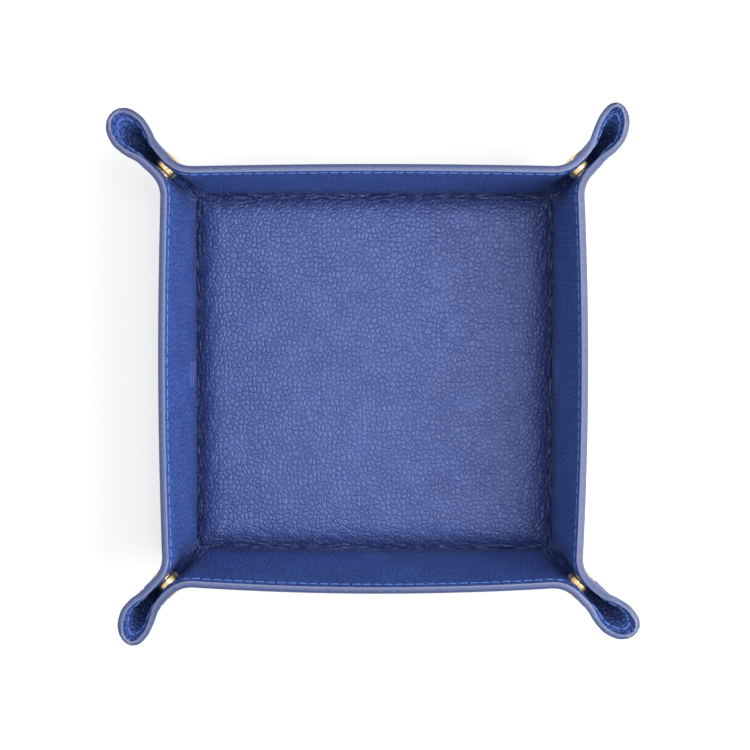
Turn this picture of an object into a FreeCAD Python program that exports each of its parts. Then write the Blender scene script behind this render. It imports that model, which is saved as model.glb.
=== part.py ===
import FreeCAD, Part
import math
import os
from types import SimpleNamespace

import Sketcher
from FreeCAD import Placement, Rotation, Vector

# Square leather valet tray whose corners are pinched into ears and held by snap fasteners.
# Units are millimetres. The origin is the middle of the underside, +Z is up and +Y is the back.

doc = FreeCAD.newDocument("ValetTray")

# Driving dimensions

SIZES = [
    ("base_width", 126.0, "fold to fold across the floor"),
    ("wall_height", 37.0, "fold to rim, along the wall"),
    ("wall_lean", 10.0, "degrees from upright"),
    ("rim_bow", 1.65, "how far the middle of a rim stands out"),
    ("leather_thickness", 1.2, "each of the two sheets"),
    ("fold_gap", 0.3, "room round the fold of a wall"),
    ("crease_gap", 0.3, "room between a wall and an ear side"),
    ("loop_gap", 0.1, "room between an ear side and its loop"),
    ("base_corner", 4.0, "corner radius of the floor sheets"),
    ("edge_round", 1.1, "rounding of the floor sheets at the fold"),
    ("board_margin", 5.5, "fold to stiffening board"),
    ("board_thickness", 1.5, "stiffening board"),
    ("board_corner", 5.0, "corner radius of the board"),
    ("pad_inset", 2.0, "edge of the board to edge of the foam"),
    ("pad_thickness", 1.0, "foam pad"),
    ("pad_round", 0.8, "rounded upper edge of the foam"),
    ("recess_play", 0.1, "room beside the board and the foam"),
    ("floor_roll", 2.0, "rounded upper edge of the padded floor"),
    ("corner_radius", 9.2, "corner of the cut sheet"),
    ("loop_start", 6.0, "base corner to the lower end of a loop"),
    ("throat_past", 3.0, "from beside the snap to where a loop starts to widen"),
    ("throat_swell", 0.2, "extra radius of a loop at its throat"),
    ("throat_flare", 4.0, "outward curve beside the throat"),
    ("belly_share", 0.726, "place of a loop's widest part, as a share of the corner's reach"),
    ("belly_radius", 4.16, "inner radius of a loop at its widest"),
    ("belly_flare", 26.0, "outward curve beside the widest part"),
    ("mouth_radius", 2.8, "inner radius of a loop at the sheet's corner"),
    ("mouth_flare", 3.0, "outward curve beside the sheet's corner"),
    ("tip_round", 6.0, "rounding where the rim meets the tip of an ear"),
    ("snap_share", 0.743, "height of the snap's centre, as a share of the wall's"),
    ("snap_margin", 1.5, "crease to the edge of the cap"),
    ("snap_play", 0.1, "room between stud flange and socket"),
    ("post_diameter", 3.0, "rivet post of the cap"),
    ("post_play", 0.1, "room round a post"),
    ("post_end", 0.1, "post past the socket's floor"),
    ("cap_diameter", 9.5, "domed cap"),
    ("cap_height", 1.45, "top of the dome above the leather"),
    ("cap_seat", 6.4, "part of the cap that lies on the leather"),
    ("cap_relief", 0.22, "rise of the cap's edge off the leather"),
    ("cap_edge", 0.35, "thickness of the cap's edge"),
    ("socket_diameter", 8.75, "socket"),
    ("socket_height", 2.4, "socket above the leather"),
    ("socket_floor", 0.5, "floor of the socket"),
    ("socket_lip", 0.4, "lip round the socket's mouth"),
    ("socket_cavity", 6.4, "inside of the socket"),
    ("socket_mouth", 4.4, "mouth of the socket"),
    ("socket_round", 0.6, "rounded rim of the socket"),
    ("stud_width", 8.0, "flange of the stud"),
    ("stud_flange", 0.6, "thickness of the flange"),
    ("stud_neck", 3.5, "neck of the stud"),
    ("stud_neck_length", 1.2, "neck between flange and head"),
    ("stud_head", 4.1, "head of the stud"),
    ("stud_head_length", 0.6, "height of the head"),
    ("stud_round", 0.3, "rounding of the head"),
    ("stud_post", 2.2, "post inside the stud"),
    ("stud_post_length", 1.3, "post past the leather"),
    ("back_cap_diameter", 8.4, "flat cap behind the stud"),
    ("back_cap_height", 0.9, "top of the flat cap above the leather"),
    ("back_cap_edge", 0.3, "thickness of the flat cap's edge"),
    ("ring_width", 4.2, "spring ring, to the middle of its wire"),
    ("ring_wire", 0.6, "wire of the spring ring"),
    ("ring_turn", 320.0, "degrees of the split ring"),
    ("ring_play", 0.05, "room between ring and lip"),
]


class Size:
    """A number from the sheet together with the expression that binds it."""

    def __init__(self, value, text):
        self.value = value
        self.text = text

    def __add__(self, other):
        return Size(self.value + other.value, f"({self.text} + {other.text})")

    def __sub__(self, other):
        return Size(self.value - other.value, f"({self.text} - {other.text})")

    def __mul__(self, other):
        return Size(self.value * other.value, f"({self.text} * {other.text})")

    def half(self):
        """Half of the size, as a radius is of a diameter."""
        return Size(self.value / 2, f"({self.text} / 2)")

    def twice(self):
        """Twice the size, for what lies on both sides."""
        return Size(self.value * 2, f"({self.text} * 2)")


sheet = doc.addObject("Spreadsheet::Sheet", "Sizes")
for row, (alias, value, note) in enumerate(SIZES, start=1):
    sheet.set(f"A{row}", alias)
    sheet.set(f"B{row}", str(value))
    sheet.setAlias(f"B{row}", alias)
    sheet.set(f"C{row}", note)
doc.recompute()

dim = SimpleNamespace(**{alias: float(sheet.get(alias)) for alias, _, _ in SIZES})
cell = SimpleNamespace(**{alias: Size(float(sheet.get(alias)), f"Sizes.{alias}") for alias, _, _ in SIZES})
nothing = Size(0.0, "0")

# Geometry of the cut sheet that every leather piece shares

root_two = math.sqrt(2)
lean = math.radians(dim.wall_lean)
half_base = dim.base_width / 2
half_sheet = dim.leather_thickness
sheet_thickness = 2 * dim.leather_thickness
reach = 4 * dim.base_width

# A wall folds about a line halfway through the leather
fold_share = (1 - math.sin(lean)) / math.cos(lean)
fold_offset = half_sheet * fold_share
fold_line = half_base + fold_offset
fold_share_cell = Size(fold_share, "((1 - sin(Sizes.wall_lean)) / cos(Sizes.wall_lean))")

# The two sides of an ear stand apart by the closed snap
snap_gap = cell.socket_height + cell.stud_flange + cell.snap_play
snap_outside = snap_gap + cell.leather_thickness.twice()
half_gap = snap_gap.value / 2
middle_gap = half_gap + half_sheet

UP = Vector(0, 0, 1)
ALONG = Vector(1, 1, 0) / root_two
ACROSS = Vector(-1, 1, 0) / root_two
WALL_UP = Vector(0, math.sin(lean), math.cos(lean))
WALL_IN = Vector(0, -math.cos(lean), math.sin(lean))
corner_point = Vector(half_base, half_base, sheet_thickness)

# The crease between a wall and an ear side, on the face of the lining
crease_foot = corner_point - Vector(root_two * half_gap, 0, 0)
crease_line = Vector(math.sin(lean), math.sin(lean), math.cos(lean)).normalize()
crease_turn = math.atan(root_two * math.tan(lean)) - math.atan(math.sin(lean))
rim_overhang = dim.wall_height * math.sin(lean) - root_two * half_gap
side_away = crease_line.cross(ACROSS)
wall_away = crease_line.cross(WALL_IN)
side_away = side_away if side_away.dot(ALONG) > 0 else side_away * -1
wall_away = wall_away if wall_away.x < 0 else wall_away * -1
mitre = (side_away - wall_away).normalize()

# Distances along the diagonal of the flat sheet: its corner, square and rounded, and the widest part of a loop
sheet_corner = root_two * dim.wall_height
ear_tip = sheet_corner - (root_two - 1) * dim.corner_radius
belly_out = dim.belly_share * sheet_corner

# The snap keeps clear of the crease, and the loop widens past it
snap_rise = dim.snap_share * dim.wall_height
snap_aside = snap_rise * math.sin(lean) - root_two * half_gap + dim.cap_diameter / 2 + dim.snap_margin
throat_out = (snap_aside + snap_rise) / root_two + dim.throat_past


def half_space(point, normal):
    """A block with a flat face through point, on the side that normal points to."""
    return Part.makeCylinder(reach, reach, point, normal)


def on_side(aside, rise, depth):
    """A point of an ear side, from its place on the flat sheet.

    aside is counted from the line of the base edge, rise from the fold and depth from the diagonal."""
    out = aside + root_two * half_gap
    along = out * math.cos(crease_turn) + rise * math.sin(crease_turn) - half_gap
    height = rise * math.cos(crease_turn) - out * math.sin(crease_turn)
    return corner_point + ALONG * along + UP * height + ACROSS * depth


def on_ear(out, drop, depth):
    """A point of an ear: out along the diagonal of the flat sheet, drop square to it, depth from the diagonal."""
    return on_side((out + drop) / root_two, (out - drop) / root_two, depth)


def on_wall(along, rise, inward):
    """A point of the back wall, counted from the middle of its fold."""
    return Vector(along, fold_line, half_sheet) + WALL_UP * rise + WALL_IN * inward


def line(start, end):
    """A straight edge."""
    return Part.LineSegment(start, end).toShape()


def arc(start, middle, end):
    """A round edge through three points."""
    return Part.Arc(start, middle, end).toShape()


# Leather walls


def wall_sheet(inner, outer):
    """One sheet of the back wall, between two depths from the middle of the leather."""
    rise = dim.wall_height + fold_offset
    end = half_base + rim_overhang + 2 * sheet_thickness
    rim_half = half_base + rim_overhang
    rim_radius = (rim_half**2 + dim.rim_bow**2) / (2 * dim.rim_bow)
    end_depth = rim_radius - dim.rim_bow - math.sqrt(rim_radius**2 - end**2)
    foot = [
        line(on_wall(-end, 0, inner), on_wall(end, 0, inner)),
        line(on_wall(end, 0, inner), on_wall(end, 0, outer)),
        line(on_wall(end, 0, outer), on_wall(-end, 0, outer)),
        line(on_wall(-end, 0, outer), on_wall(-end, 0, inner)),
    ]
    corners = [on_wall(side, rise, end_depth + depth) for depth in (inner, outer) for side in (-end, end)]
    middles = [on_wall(0, rise, depth - dim.rim_bow) for depth in (inner, outer)]
    rim = [
        arc(corners[0], middles[0], corners[1]),
        line(corners[1], corners[3]),
        arc(corners[3], middles[1], corners[2]),
        line(corners[2], corners[0]),
    ]
    shape = Part.makeLoft([Part.Wire(foot), Part.Wire(rim)], True, True)

    # Room for the rounded edge of the floor, then the mitred ends
    fold_radius = half_sheet + dim.fold_gap
    fold = Part.makeCylinder(fold_radius, 2 * end, Vector(-end, fold_line, half_sheet), Vector(1, 0, 0))
    inside = Part.makeBox(2 * end, half_base, sheet_thickness + dim.fold_gap, Vector(-end, fold_line - half_base, 0))
    mitre_point = crease_foot - mitre * (dim.crease_gap / 2)
    right_end = half_space(mitre_point, mitre)
    left_end = right_end.mirror(Vector(0, 0, 0), Vector(1, 0, 0))
    return shape.cut([fold, inside, right_end, left_end])


# Leather ears: two flat sides and a loop that joins them


def loop_curve(flare, radius):
    """The half section of a loop, along the middle of the leather.

    Returns the length of leather in it, the width of its outward curve and the turn of that curve."""
    width = math.sqrt((flare + radius) ** 2 - (flare + middle_gap) ** 2)
    turn = math.asin(width / (flare + radius))
    length = flare * turn + radius * (turn + math.pi / 2)
    return SimpleNamespace(flare=flare, radius=radius, length=length, width=width, turn=turn)


throat = loop_curve(dim.throat_flare, middle_gap + dim.throat_swell)
belly = loop_curve(dim.belly_flare, dim.belly_radius + half_sheet)
mouth = loop_curve(dim.mouth_flare, dim.mouth_radius + half_sheet)


def loop_section(out, curve, inner, outer):
    """A closed section of half a loop, between two depths from the middle of the leather."""
    first = -curve.length
    centre = first + curve.width

    def on_flare(depth, turn):
        radius = curve.flare - depth
        across = middle_gap + curve.flare - radius * math.cos(turn)
        return on_ear(out, first + radius * math.sin(turn), across)

    def on_nose(depth, turn):
        radius = curve.radius + depth
        return on_ear(out, centre + radius * math.cos(turn), radius * math.sin(turn))

    nose_turn = math.pi / 2 + curve.turn
    edges = [
        arc(on_flare(inner, 0), on_flare(inner, curve.turn / 2), on_nose(inner, nose_turn)),
        arc(on_nose(inner, nose_turn), on_nose(inner, nose_turn / 2), on_nose(inner, 0)),
        line(on_nose(inner, 0), on_nose(outer, 0)),
        arc(on_nose(outer, 0), on_nose(outer, nose_turn / 2), on_nose(outer, nose_turn)),
        arc(on_nose(outer, nose_turn), on_flare(outer, curve.turn / 2), on_flare(outer, 0)),
        line(on_flare(outer, 0), on_flare(inner, 0)),
    ]
    return Part.Wire(edges)


def ear_outline():
    """A prism that holds what lies inside the rim and the rounded tip of an ear."""
    far = 2 * sheet_corner
    tangent = dim.tip_round * math.tan(math.pi / 8)
    corner_drop = ear_tip - sheet_corner
    centre = (ear_tip - dim.tip_round, corner_drop + tangent)
    on_rim = (ear_tip - tangent / root_two, corner_drop - tangent / root_two)
    on_tip = (ear_tip, corner_drop + tangent)
    middle = (
        centre[0] + dim.tip_round * math.cos(math.pi / 8),
        centre[1] - dim.tip_round * math.sin(math.pi / 8),
    )
    far_points = [on_tip, (ear_tip, far), (-far, far), (-far, -far - sheet_corner), on_rim]
    points = [on_ear(out, drop, 0) for out, drop in far_points]
    edges = [line(start, end) for start, end in zip(points, points[1:])]
    edges.append(arc(on_ear(*on_rim, 0), on_ear(*middle, 0), on_ear(*on_tip, 0)))
    return Part.Face(Part.Wire(edges)).extrude(ACROSS * far)


def half_loop():
    """Half of an ear's loop, as the two sheets of leather that lie together in it."""
    behind_crease = half_space(crease_foot + mitre * (dim.crease_gap / 2), mitre)
    outline = ear_outline()
    sheets = []
    for inner, outer in ((-half_sheet, 0), (0, half_sheet)):
        sections = [
            loop_section(dim.loop_start, throat, inner, outer),
            loop_section(throat_out, throat, inner, outer),
            loop_section(belly_out, belly, inner, outer),
            loop_section(sheet_corner, mouth, inner, outer),
        ]
        body = Part.makeLoft(sections, True, True)
        sheets.append(body.common(outline).common(behind_crease).Solids[0])
    return Part.makeCompound(sheets)


def side_sheet(inner, outer):
    """One sheet of an ear side, between two depths from the diagonal, with the hole for a post."""
    throat_drop = -throat.length - dim.loop_gap
    spare = 2 * sheet_thickness
    sine = math.sin(lean)
    crease_out = (throat.length * (1 + sine) - 2 * half_gap) / (1 - sine)
    rise_out = belly_out - throat_out
    widening = throat.length - belly.length
    rim_share = (sheet_corner + throat_drop - throat_out) / (rise_out - widening)
    rim_out = throat_out + rim_share * rise_out
    rim_drop = throat_drop + rim_share * widening
    points = [
        on_ear(crease_out - spare, throat_drop, inner),
        on_ear(throat_out, throat_drop, inner),
        on_ear(rim_out, rim_drop, inner),
        on_side(rim_overhang - spare, dim.wall_height, inner),
    ]
    outline = Part.makePolygon(points + points[:1])
    plate = Part.Face(outline).extrude(ACROSS * (outer - inner))
    hole_radius = (dim.post_diameter / 2) + dim.post_play
    hole = Part.makeCylinder(hole_radius, reach, snap_centre, ACROSS)
    before_crease = half_space(crease_foot + mitre * (dim.crease_gap / 2), mitre * -1)
    return plate.cut([hole, before_crease])


snap_centre = on_side(snap_aside, snap_rise, 0)


def add_leather(label, shape, turn, mirrored=False):
    """Adds a leather piece, mirrored across the diagonal and turned about the middle of the tray."""
    piece = doc.addObject("Part::Feature", label)
    piece.Label = label
    piece.Shape = shape.mirror(Vector(0, 0, 0), ACROSS) if mirrored else shape
    piece.Placement = Placement(Vector(0, 0, 0), Rotation(UP, turn))
    return piece


# Bodies made from sketches


def origin_plane(body, role):
    """The named origin plane of a body."""
    return next(plane for plane in body.Origin.OriginFeatures if plane.Role == role)


def new_body(label):
    """An empty body with its label."""
    body = doc.addObject("PartDesign::Body", label)
    body.Label = label
    return body


def new_sketch(body, role, name):
    """An empty sketch on an origin plane of its own body."""
    sketch = body.newObject("Sketcher::SketchObject", name)
    sketch.AttachmentSupport = [(origin_plane(body, role), "")]
    sketch.MapMode = "FlatFace"
    return sketch


def drive(sketch, kind, geometry, size):
    """Adds one distance to a sketch and binds it to the sheet."""
    index = sketch.addConstraint(Sketcher.Constraint(kind, *geometry, size.value))
    sketch.setExpression(f"Constraints[{index}]", size.text)


def drive_point(sketch, geometry, end, along, up):
    """Places one end of a line in a sketch by two sizes."""
    for kind, axis, size in (("DistanceX", -2, along), ("DistanceY", -1, up)):
        if size is nothing:
            sketch.addConstraint(Sketcher.Constraint("PointOnObject", geometry, end, axis))
        else:
            drive(sketch, kind, (-1, 1, geometry, end), size)


def square_pad(body, name, width, height, kind="PartDesign::Pad"):
    """A square about the body's axis, raised or cut from the plane of the body's foot."""
    sketch = new_sketch(body, "XY_Plane", f"{name}_outline")
    half = width.value / 2
    corners = [Vector(-half, -half), Vector(half, -half), Vector(half, half), Vector(-half, half)]
    for start, end in zip(corners, corners[1:] + corners[:1]):
        sketch.addGeometry(Part.LineSegment(start, end))
    for index in range(4):
        sketch.addConstraint(Sketcher.Constraint("Coincident", index, 2, (index + 1) % 4, 1))
    for index in (0, 2):
        sketch.addConstraint(Sketcher.Constraint("Horizontal", index))
        sketch.addConstraint(Sketcher.Constraint("Vertical", index + 1))
    sketch.addConstraint(Sketcher.Constraint("Symmetric", 0, 1, 2, 1, -1, 1))
    drive(sketch, "DistanceX", (0, 1, 0, 2), width)
    drive(sketch, "DistanceY", (1, 1, 1, 2), width)
    feature = body.newObject(kind, name)
    feature.Profile = sketch
    feature.Length = height.value
    feature.setExpression("Length", height.text)
    feature.Reversed = kind == "PartDesign::Pocket"
    doc.recompute()
    return feature


def round_edges(body, name, feature, radius, chosen):
    """Rounds the edges of a feature that pass a test."""
    names = [f"Edge{number}" for number, edge in enumerate(feature.Shape.Edges, start=1) if chosen(edge)]
    fillet = body.newObject("PartDesign::Fillet", name)
    fillet.Base = (feature, names)
    fillet.Radius = radius.value
    fillet.setExpression("Radius", radius.text)
    doc.recompute()
    return fillet


def is_upright(edge):
    """Whether an edge runs straight up."""
    start, end = edge.Vertexes[0].Point, edge.Vertexes[-1].Point
    return abs(start.x - end.x) + abs(start.y - end.y) < 1e-6


def lies_at(height):
    """A test for edges that lie at one height."""
    return lambda edge: all(abs(vertex.Z - height) < 1e-6 for vertex in edge.Vertexes)


def is_ring(radius, height):
    """A test for a round edge of one radius at one height."""
    return lambda edge: lies_at(height)(edge) and abs(edge.BoundBox.XMax - radius) < 1e-6


def turned_body(label, outline, dome=None):
    """A body turned about its Z axis from a closed half section.

    The stretch that starts at the point numbered dome is an arc that ends square to the axis."""
    body = new_body(label)
    sketch = new_sketch(body, "XZ_Plane", f"{label}_section")
    count = len(outline)
    points = [Vector(along.value, up.value) for along, up in outline]
    for index in range(count):
        start, end = points[index], points[(index + 1) % count]
        if index == dome:
            rise = end.y - start.y
            radius = (rise**2 + start.x**2) / (2 * rise)
            circle = Part.Circle(Vector(0, end.y - radius), UP, radius)
            sketch.addGeometry(Part.ArcOfCircle(circle, math.asin((radius - rise) / radius), math.pi / 2))
            sketch.addConstraint(Sketcher.Constraint("PointOnObject", index, 3, -2))
        else:
            sketch.addGeometry(Part.LineSegment(start, end))
    for index in range(count):
        sketch.addConstraint(Sketcher.Constraint("Coincident", index, 2, (index + 1) % count, 1))
    for index, (along, up) in enumerate(outline):
        drive_point(sketch, index, 1, along, up)
    turned = body.newObject("PartDesign::Revolution", f"{label}_turned")
    turned.Profile = sketch
    turned.ReferenceAxis = (sketch, ["V_Axis"])
    turned.Angle = 360
    doc.recompute()
    return body, turned


# Floor: outer sheet, stiffening board, foam pad and lining


def add_floor():
    """The pieces that lie flat between the folds."""
    fold_width = cell.base_width + (cell.leather_thickness * fold_share_cell).twice()
    sheet_width = fold_width + cell.leather_thickness.twice()
    board_width = cell.base_width - cell.board_margin.twice()
    pad_width = board_width - cell.pad_inset.twice()
    raised_width = board_width + (cell.leather_thickness + cell.recess_play).twice()
    raised_corner = cell.board_corner + cell.leather_thickness
    raised_height = cell.leather_thickness + cell.board_thickness + cell.pad_thickness

    outer = new_body("outer_base")
    slab = square_pad(outer, "outer_slab", sheet_width, cell.leather_thickness)
    slab = round_edges(outer, "outer_corners", slab, cell.base_corner, is_upright)
    round_edges(outer, "outer_edge", slab, cell.edge_round, lies_at(0))

    board = new_body("base_board")
    plate = square_pad(board, "board_plate", board_width, cell.board_thickness)
    round_edges(board, "board_corners", plate, cell.board_corner, is_upright)
    board.setExpression("Placement.Base.z", cell.leather_thickness.text)

    pad = new_body("base_pad")
    foam = square_pad(pad, "pad_foam", pad_width, cell.pad_thickness)
    foam = round_edges(pad, "pad_corners", foam, cell.board_corner, is_upright)
    round_edges(pad, "pad_edge", foam, cell.pad_round, lies_at(dim.pad_thickness))
    pad.setExpression("Placement.Base.z", (cell.leather_thickness + cell.board_thickness).text)

    lining = new_body("floor_lining")
    skirt = square_pad(lining, "lining_skirt", sheet_width, cell.leather_thickness)
    skirt = round_edges(lining, "lining_corners", skirt, cell.base_corner, is_upright)
    round_edges(lining, "lining_edge", skirt, cell.edge_round, lies_at(dim.leather_thickness))
    raised = square_pad(lining, "lining_raised", raised_width, raised_height)
    half_raised = raised_width.value / 2
    raised = round_edges(
        lining,
        "raised_corners",
        raised,
        raised_corner,
        lambda edge: is_upright(edge) and abs(abs(edge.Vertexes[0].X) - half_raised) < 1e-6,
    )
    raised = round_edges(lining, "raised_roll", raised, cell.floor_roll, lies_at(raised_height.value))
    before = raised.Shape.Volume
    recess_width = board_width + cell.recess_play.twice()
    recess = square_pad(lining, "board_recess", recess_width, cell.board_thickness, "PartDesign::Pocket")
    foam_width = pad_width + cell.recess_play.twice()
    foam_height = cell.board_thickness + cell.pad_thickness
    recess = square_pad(lining, "pad_recess", foam_width, foam_height, "PartDesign::Pocket")
    if recess.Shape.Volume >= before:
        raise RuntimeError("the lining has no room for the board and the pad")
    lining.setExpression("Placement.Base.z", cell.leather_thickness.text)
    return [outer, board, pad, lining]


# Snap fasteners: each is drawn along the axis of its post, counted from the lining of the other ear side


def add_cap(label):
    """The domed cap, with the post that holds the socket."""
    post = cell.post_diameter.half()
    edge = snap_outside + cell.cap_relief
    outline = [
        (nothing, snap_gap - cell.socket_floor - cell.post_end),
        (post, snap_gap - cell.socket_floor - cell.post_end),
        (post, snap_outside),
        (cell.cap_seat.half(), snap_outside),
        (cell.cap_diameter.half(), edge),
        (cell.cap_diameter.half(), edge + cell.cap_edge),
        (nothing, snap_outside + cell.cap_height),
    ]
    return turned_body(label, outline, dome=5)[0]


def add_socket(label):
    """The socket on the lining, with its cavity, lip and hole for the post."""
    hole = cell.post_diameter.half() + cell.post_play
    mouth_height = snap_gap - cell.socket_height
    outline = [
        (hole, snap_gap),
        (cell.socket_diameter.half(), snap_gap),
        (cell.socket_diameter.half(), mouth_height),
        (cell.socket_mouth.half(), mouth_height),
        (cell.socket_mouth.half(), mouth_height + cell.socket_lip),
        (cell.socket_cavity.half(), mouth_height + cell.socket_lip),
        (cell.socket_cavity.half(), snap_gap - cell.socket_floor),
        (hole, snap_gap - cell.socket_floor),
    ]
    body, turned = turned_body(label, outline)
    rim = is_ring(dim.socket_diameter / 2, mouth_height.value)
    round_edges(body, f"{label}_rim", turned, cell.socket_round, rim)
    return body


def add_spring(label):
    """The split ring that grips the neck of the stud."""
    body = new_body(label)
    sketch = new_sketch(body, "XZ_Plane", f"{label}_section")
    height = snap_gap - cell.socket_height + cell.socket_lip + cell.ring_play + cell.ring_wire.half()
    centre = Vector(dim.ring_width / 2, height.value)
    sketch.addGeometry(Part.Circle(centre, UP, dim.ring_wire / 2))
    drive(sketch, "Diameter", (0,), cell.ring_wire)
    drive_point(sketch, 0, 3, cell.ring_width.half(), height)
    ring = body.newObject("PartDesign::Revolution", f"{label}_ring")
    ring.Profile = sketch
    ring.ReferenceAxis = (sketch, ["V_Axis"])
    ring.Angle = dim.ring_turn
    ring.setExpression("Angle", cell.ring_turn.text)
    return body


def add_stud(label):
    """The stud on the lining of the other side, hollow for its post."""
    bore = cell.stud_post.half() + cell.post_play
    bore_end = snap_gap - cell.stud_post_length - cell.post_play
    neck_start = snap_gap - cell.stud_flange
    neck_end = neck_start - cell.stud_neck_length
    head_end = neck_end - cell.stud_head_length
    outline = [
        (bore, snap_gap),
        (cell.stud_width.half(), snap_gap),
        (cell.stud_width.half(), neck_start),
        (cell.stud_neck.half(), neck_start),
        (cell.stud_neck.half(), neck_end),
        (cell.stud_head.half(), neck_end),
        (cell.stud_head.half(), head_end),
        (nothing, head_end),
        (nothing, bore_end),
        (bore, bore_end),
    ]
    body, turned = turned_body(label, outline)
    head = is_ring(dim.stud_head / 2, head_end.value)
    round_edges(body, f"{label}_head", turned, cell.stud_round, head)
    return body


def add_back_cap(label):
    """The flat cap behind the stud, with the post inside it."""
    post = cell.stud_post.half()
    outline = [
        (nothing, snap_gap - cell.stud_post_length),
        (post, snap_gap - cell.stud_post_length),
        (post, snap_outside),
        (cell.back_cap_diameter.half(), snap_outside),
        (cell.back_cap_diameter.half(), snap_outside + cell.back_cap_edge),
        (nothing, snap_outside + cell.back_cap_height),
    ]
    return turned_body(label, outline, dome=4)[0]


def seat_snap(body, turn, mirrored):
    """Sets a snap piece on its ear side."""
    axis = ACROSS * -1 if mirrored else ACROSS
    foot = snap_centre - axis * half_gap
    seat = Placement(foot, Rotation(UP, axis))
    body.Placement = Placement(Vector(0, 0, 0), Rotation(UP, turn)).multiply(seat)
    return body


# Assembly: each quarter turn has a wall, the ear at its right-hand end and the snap of that ear

QUARTERS = [
    ("back", "right", 0),
    ("left", "back", 90),
    ("front", "left", 180),
    ("right", "front", 270),
]
SOCKET_WALLS = ("front", "back")

wall_outer = wall_sheet(-half_sheet, 0)
wall_lining = wall_sheet(0, half_sheet)
side_outer = side_sheet(middle_gap, middle_gap + half_sheet)
side_lining = side_sheet(half_gap, middle_gap)
loop = half_loop()

pieces = add_floor()
for wall, next_wall, turn in QUARTERS:
    pieces.append(add_leather(f"{wall}_wall_outer", wall_outer, turn))
    pieces.append(add_leather(f"{wall}_wall_lining", wall_lining, turn))
    for near, far, mirrored in ((wall, next_wall, False), (next_wall, wall, True)):
        pieces.append(add_leather(f"{near}_{far}_side_outer", side_outer, turn, mirrored))
        pieces.append(add_leather(f"{near}_{far}_side_lining", side_lining, turn, mirrored))
        pieces.append(add_leather(f"{near}_{far}_loop", loop, turn, mirrored))
        ends = sorted((near, far), key=("front", "back", "left", "right").index)
        snap = "_".join(ends) + "_snap"
        if near in SOCKET_WALLS:
            snap_pieces = [add_cap(f"{snap}_cap"), add_socket(f"{snap}_socket"), add_spring(f"{snap}_spring")]
        else:
            snap_pieces = [add_stud(f"{snap}_stud"), add_back_cap(f"{snap}_back_cap")]
        pieces += [seat_snap(body, turn, mirrored) for body in snap_pieces]

doc.recompute()
for item in doc.Objects:
    if "Invalid" in item.State or "Error" in item.State:
        raise RuntimeError(f"{item.Label} failed: {item.State}")
for piece in pieces:
    if piece.Shape.isNull() or not piece.Shape.isValid():
        raise RuntimeError(f"{piece.Label} has no valid shape")

os.makedirs("parts", exist_ok=True)
for piece in pieces:
    piece.Shape.exportStep(f"parts/{piece.Label}.step")
    print(f"{piece.Label}: {len(piece.Shape.Solids)} solid, {piece.Shape.Volume:.1f} mm3")
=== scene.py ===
"""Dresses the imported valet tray.

One leather sheet is folded into four walls and four pinched ears round a padded floor. The
script adds the sheet, its painted edge, its stitching and the padded floor, gives the snaps
their metal, and sets up the light and the camera.
"""

import logging
import math
from dataclasses import dataclass, field
from enum import Enum, IntEnum
from typing import Callable

import bpy
import numpy as np
from mathutils import Matrix, Vector


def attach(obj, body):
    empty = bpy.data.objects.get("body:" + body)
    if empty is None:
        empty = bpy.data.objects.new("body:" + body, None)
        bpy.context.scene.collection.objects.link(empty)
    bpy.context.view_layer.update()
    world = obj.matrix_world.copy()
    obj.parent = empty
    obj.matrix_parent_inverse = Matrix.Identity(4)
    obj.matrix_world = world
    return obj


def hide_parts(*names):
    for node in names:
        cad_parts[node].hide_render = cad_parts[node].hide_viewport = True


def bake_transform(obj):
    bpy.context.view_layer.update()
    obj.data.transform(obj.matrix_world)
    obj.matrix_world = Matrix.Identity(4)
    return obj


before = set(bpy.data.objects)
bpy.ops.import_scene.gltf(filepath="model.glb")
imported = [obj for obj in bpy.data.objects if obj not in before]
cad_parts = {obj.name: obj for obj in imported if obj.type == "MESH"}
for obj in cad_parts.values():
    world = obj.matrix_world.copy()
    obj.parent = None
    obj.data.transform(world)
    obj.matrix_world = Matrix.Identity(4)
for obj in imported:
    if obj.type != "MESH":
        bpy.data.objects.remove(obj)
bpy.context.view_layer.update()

Array = np.ndarray
Piece = bpy.types.Object
Socket = bpy.types.NodeSocket
Triple = tuple[float, float, float]
Colour = tuple[float, float, float, float]
# Where a ramp starts and how far it runs.
Ramp = tuple[float, float]
# The two ends of a range.
Range = tuple[float, float]
# The range that a value comes from, then the range that it is taken to.
Level = tuple[float, float, float, float]

LOG = logging.getLogger("valet_tray")
MM = 0.001
ROOT2 = math.sqrt(2)
HALVINGS = 45
WHITE = (1.0, 1.0, 1.0, 1.0)
# Takes the outer leather's grain from another part of the hide than the lining's.
OUTER_GRAIN = np.array([500.0, 0.0, 0.0])


class Wall(Enum):
    """The four walls, each with its quarter turns from the back wall and its two neighbours."""

    BACK = ("back", 0, "right", "left")
    LEFT = ("left", 1, "back", "front")
    FRONT = ("front", 2, "left", "right")
    RIGHT = ("right", 3, "front", "back")

    @property
    def word(self) -> str:
        """The wall's name in the frame."""
        return self.value[0]

    @property
    def turns(self) -> int:
        """Quarter turns from the back wall."""
        return self.value[1]


class End(Enum):
    """The two ends of a wall, seen from inside the tray."""

    RIGHT = 1
    LEFT = -1


class Face(Enum):
    """The two faces of the leather sheet."""

    LINING = 1
    OUTER = -1


class Coat(IntEnum):
    """Finish numbers on a piece of the sheet."""

    LINING = 0
    OUTER = 1
    EDGE = 2


def smoothstep(x: Array) -> Array:
    """A smooth ramp from 0 to 1 over the unit range."""
    x = np.clip(x, 0.0, 1.0)
    return x * x * (3 - 2 * x)


def rise(x: Array, start: float, span: float) -> Array:
    """A smooth ramp from 0 at its start to 1 at the end of its span."""
    return smoothstep((x - start) / span)


def hump(x: Array, centre: Array | float, width: float) -> Array:
    """A bell of height 1 round a centre."""
    return np.exp(-(((x - centre) / width) ** 2))


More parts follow.
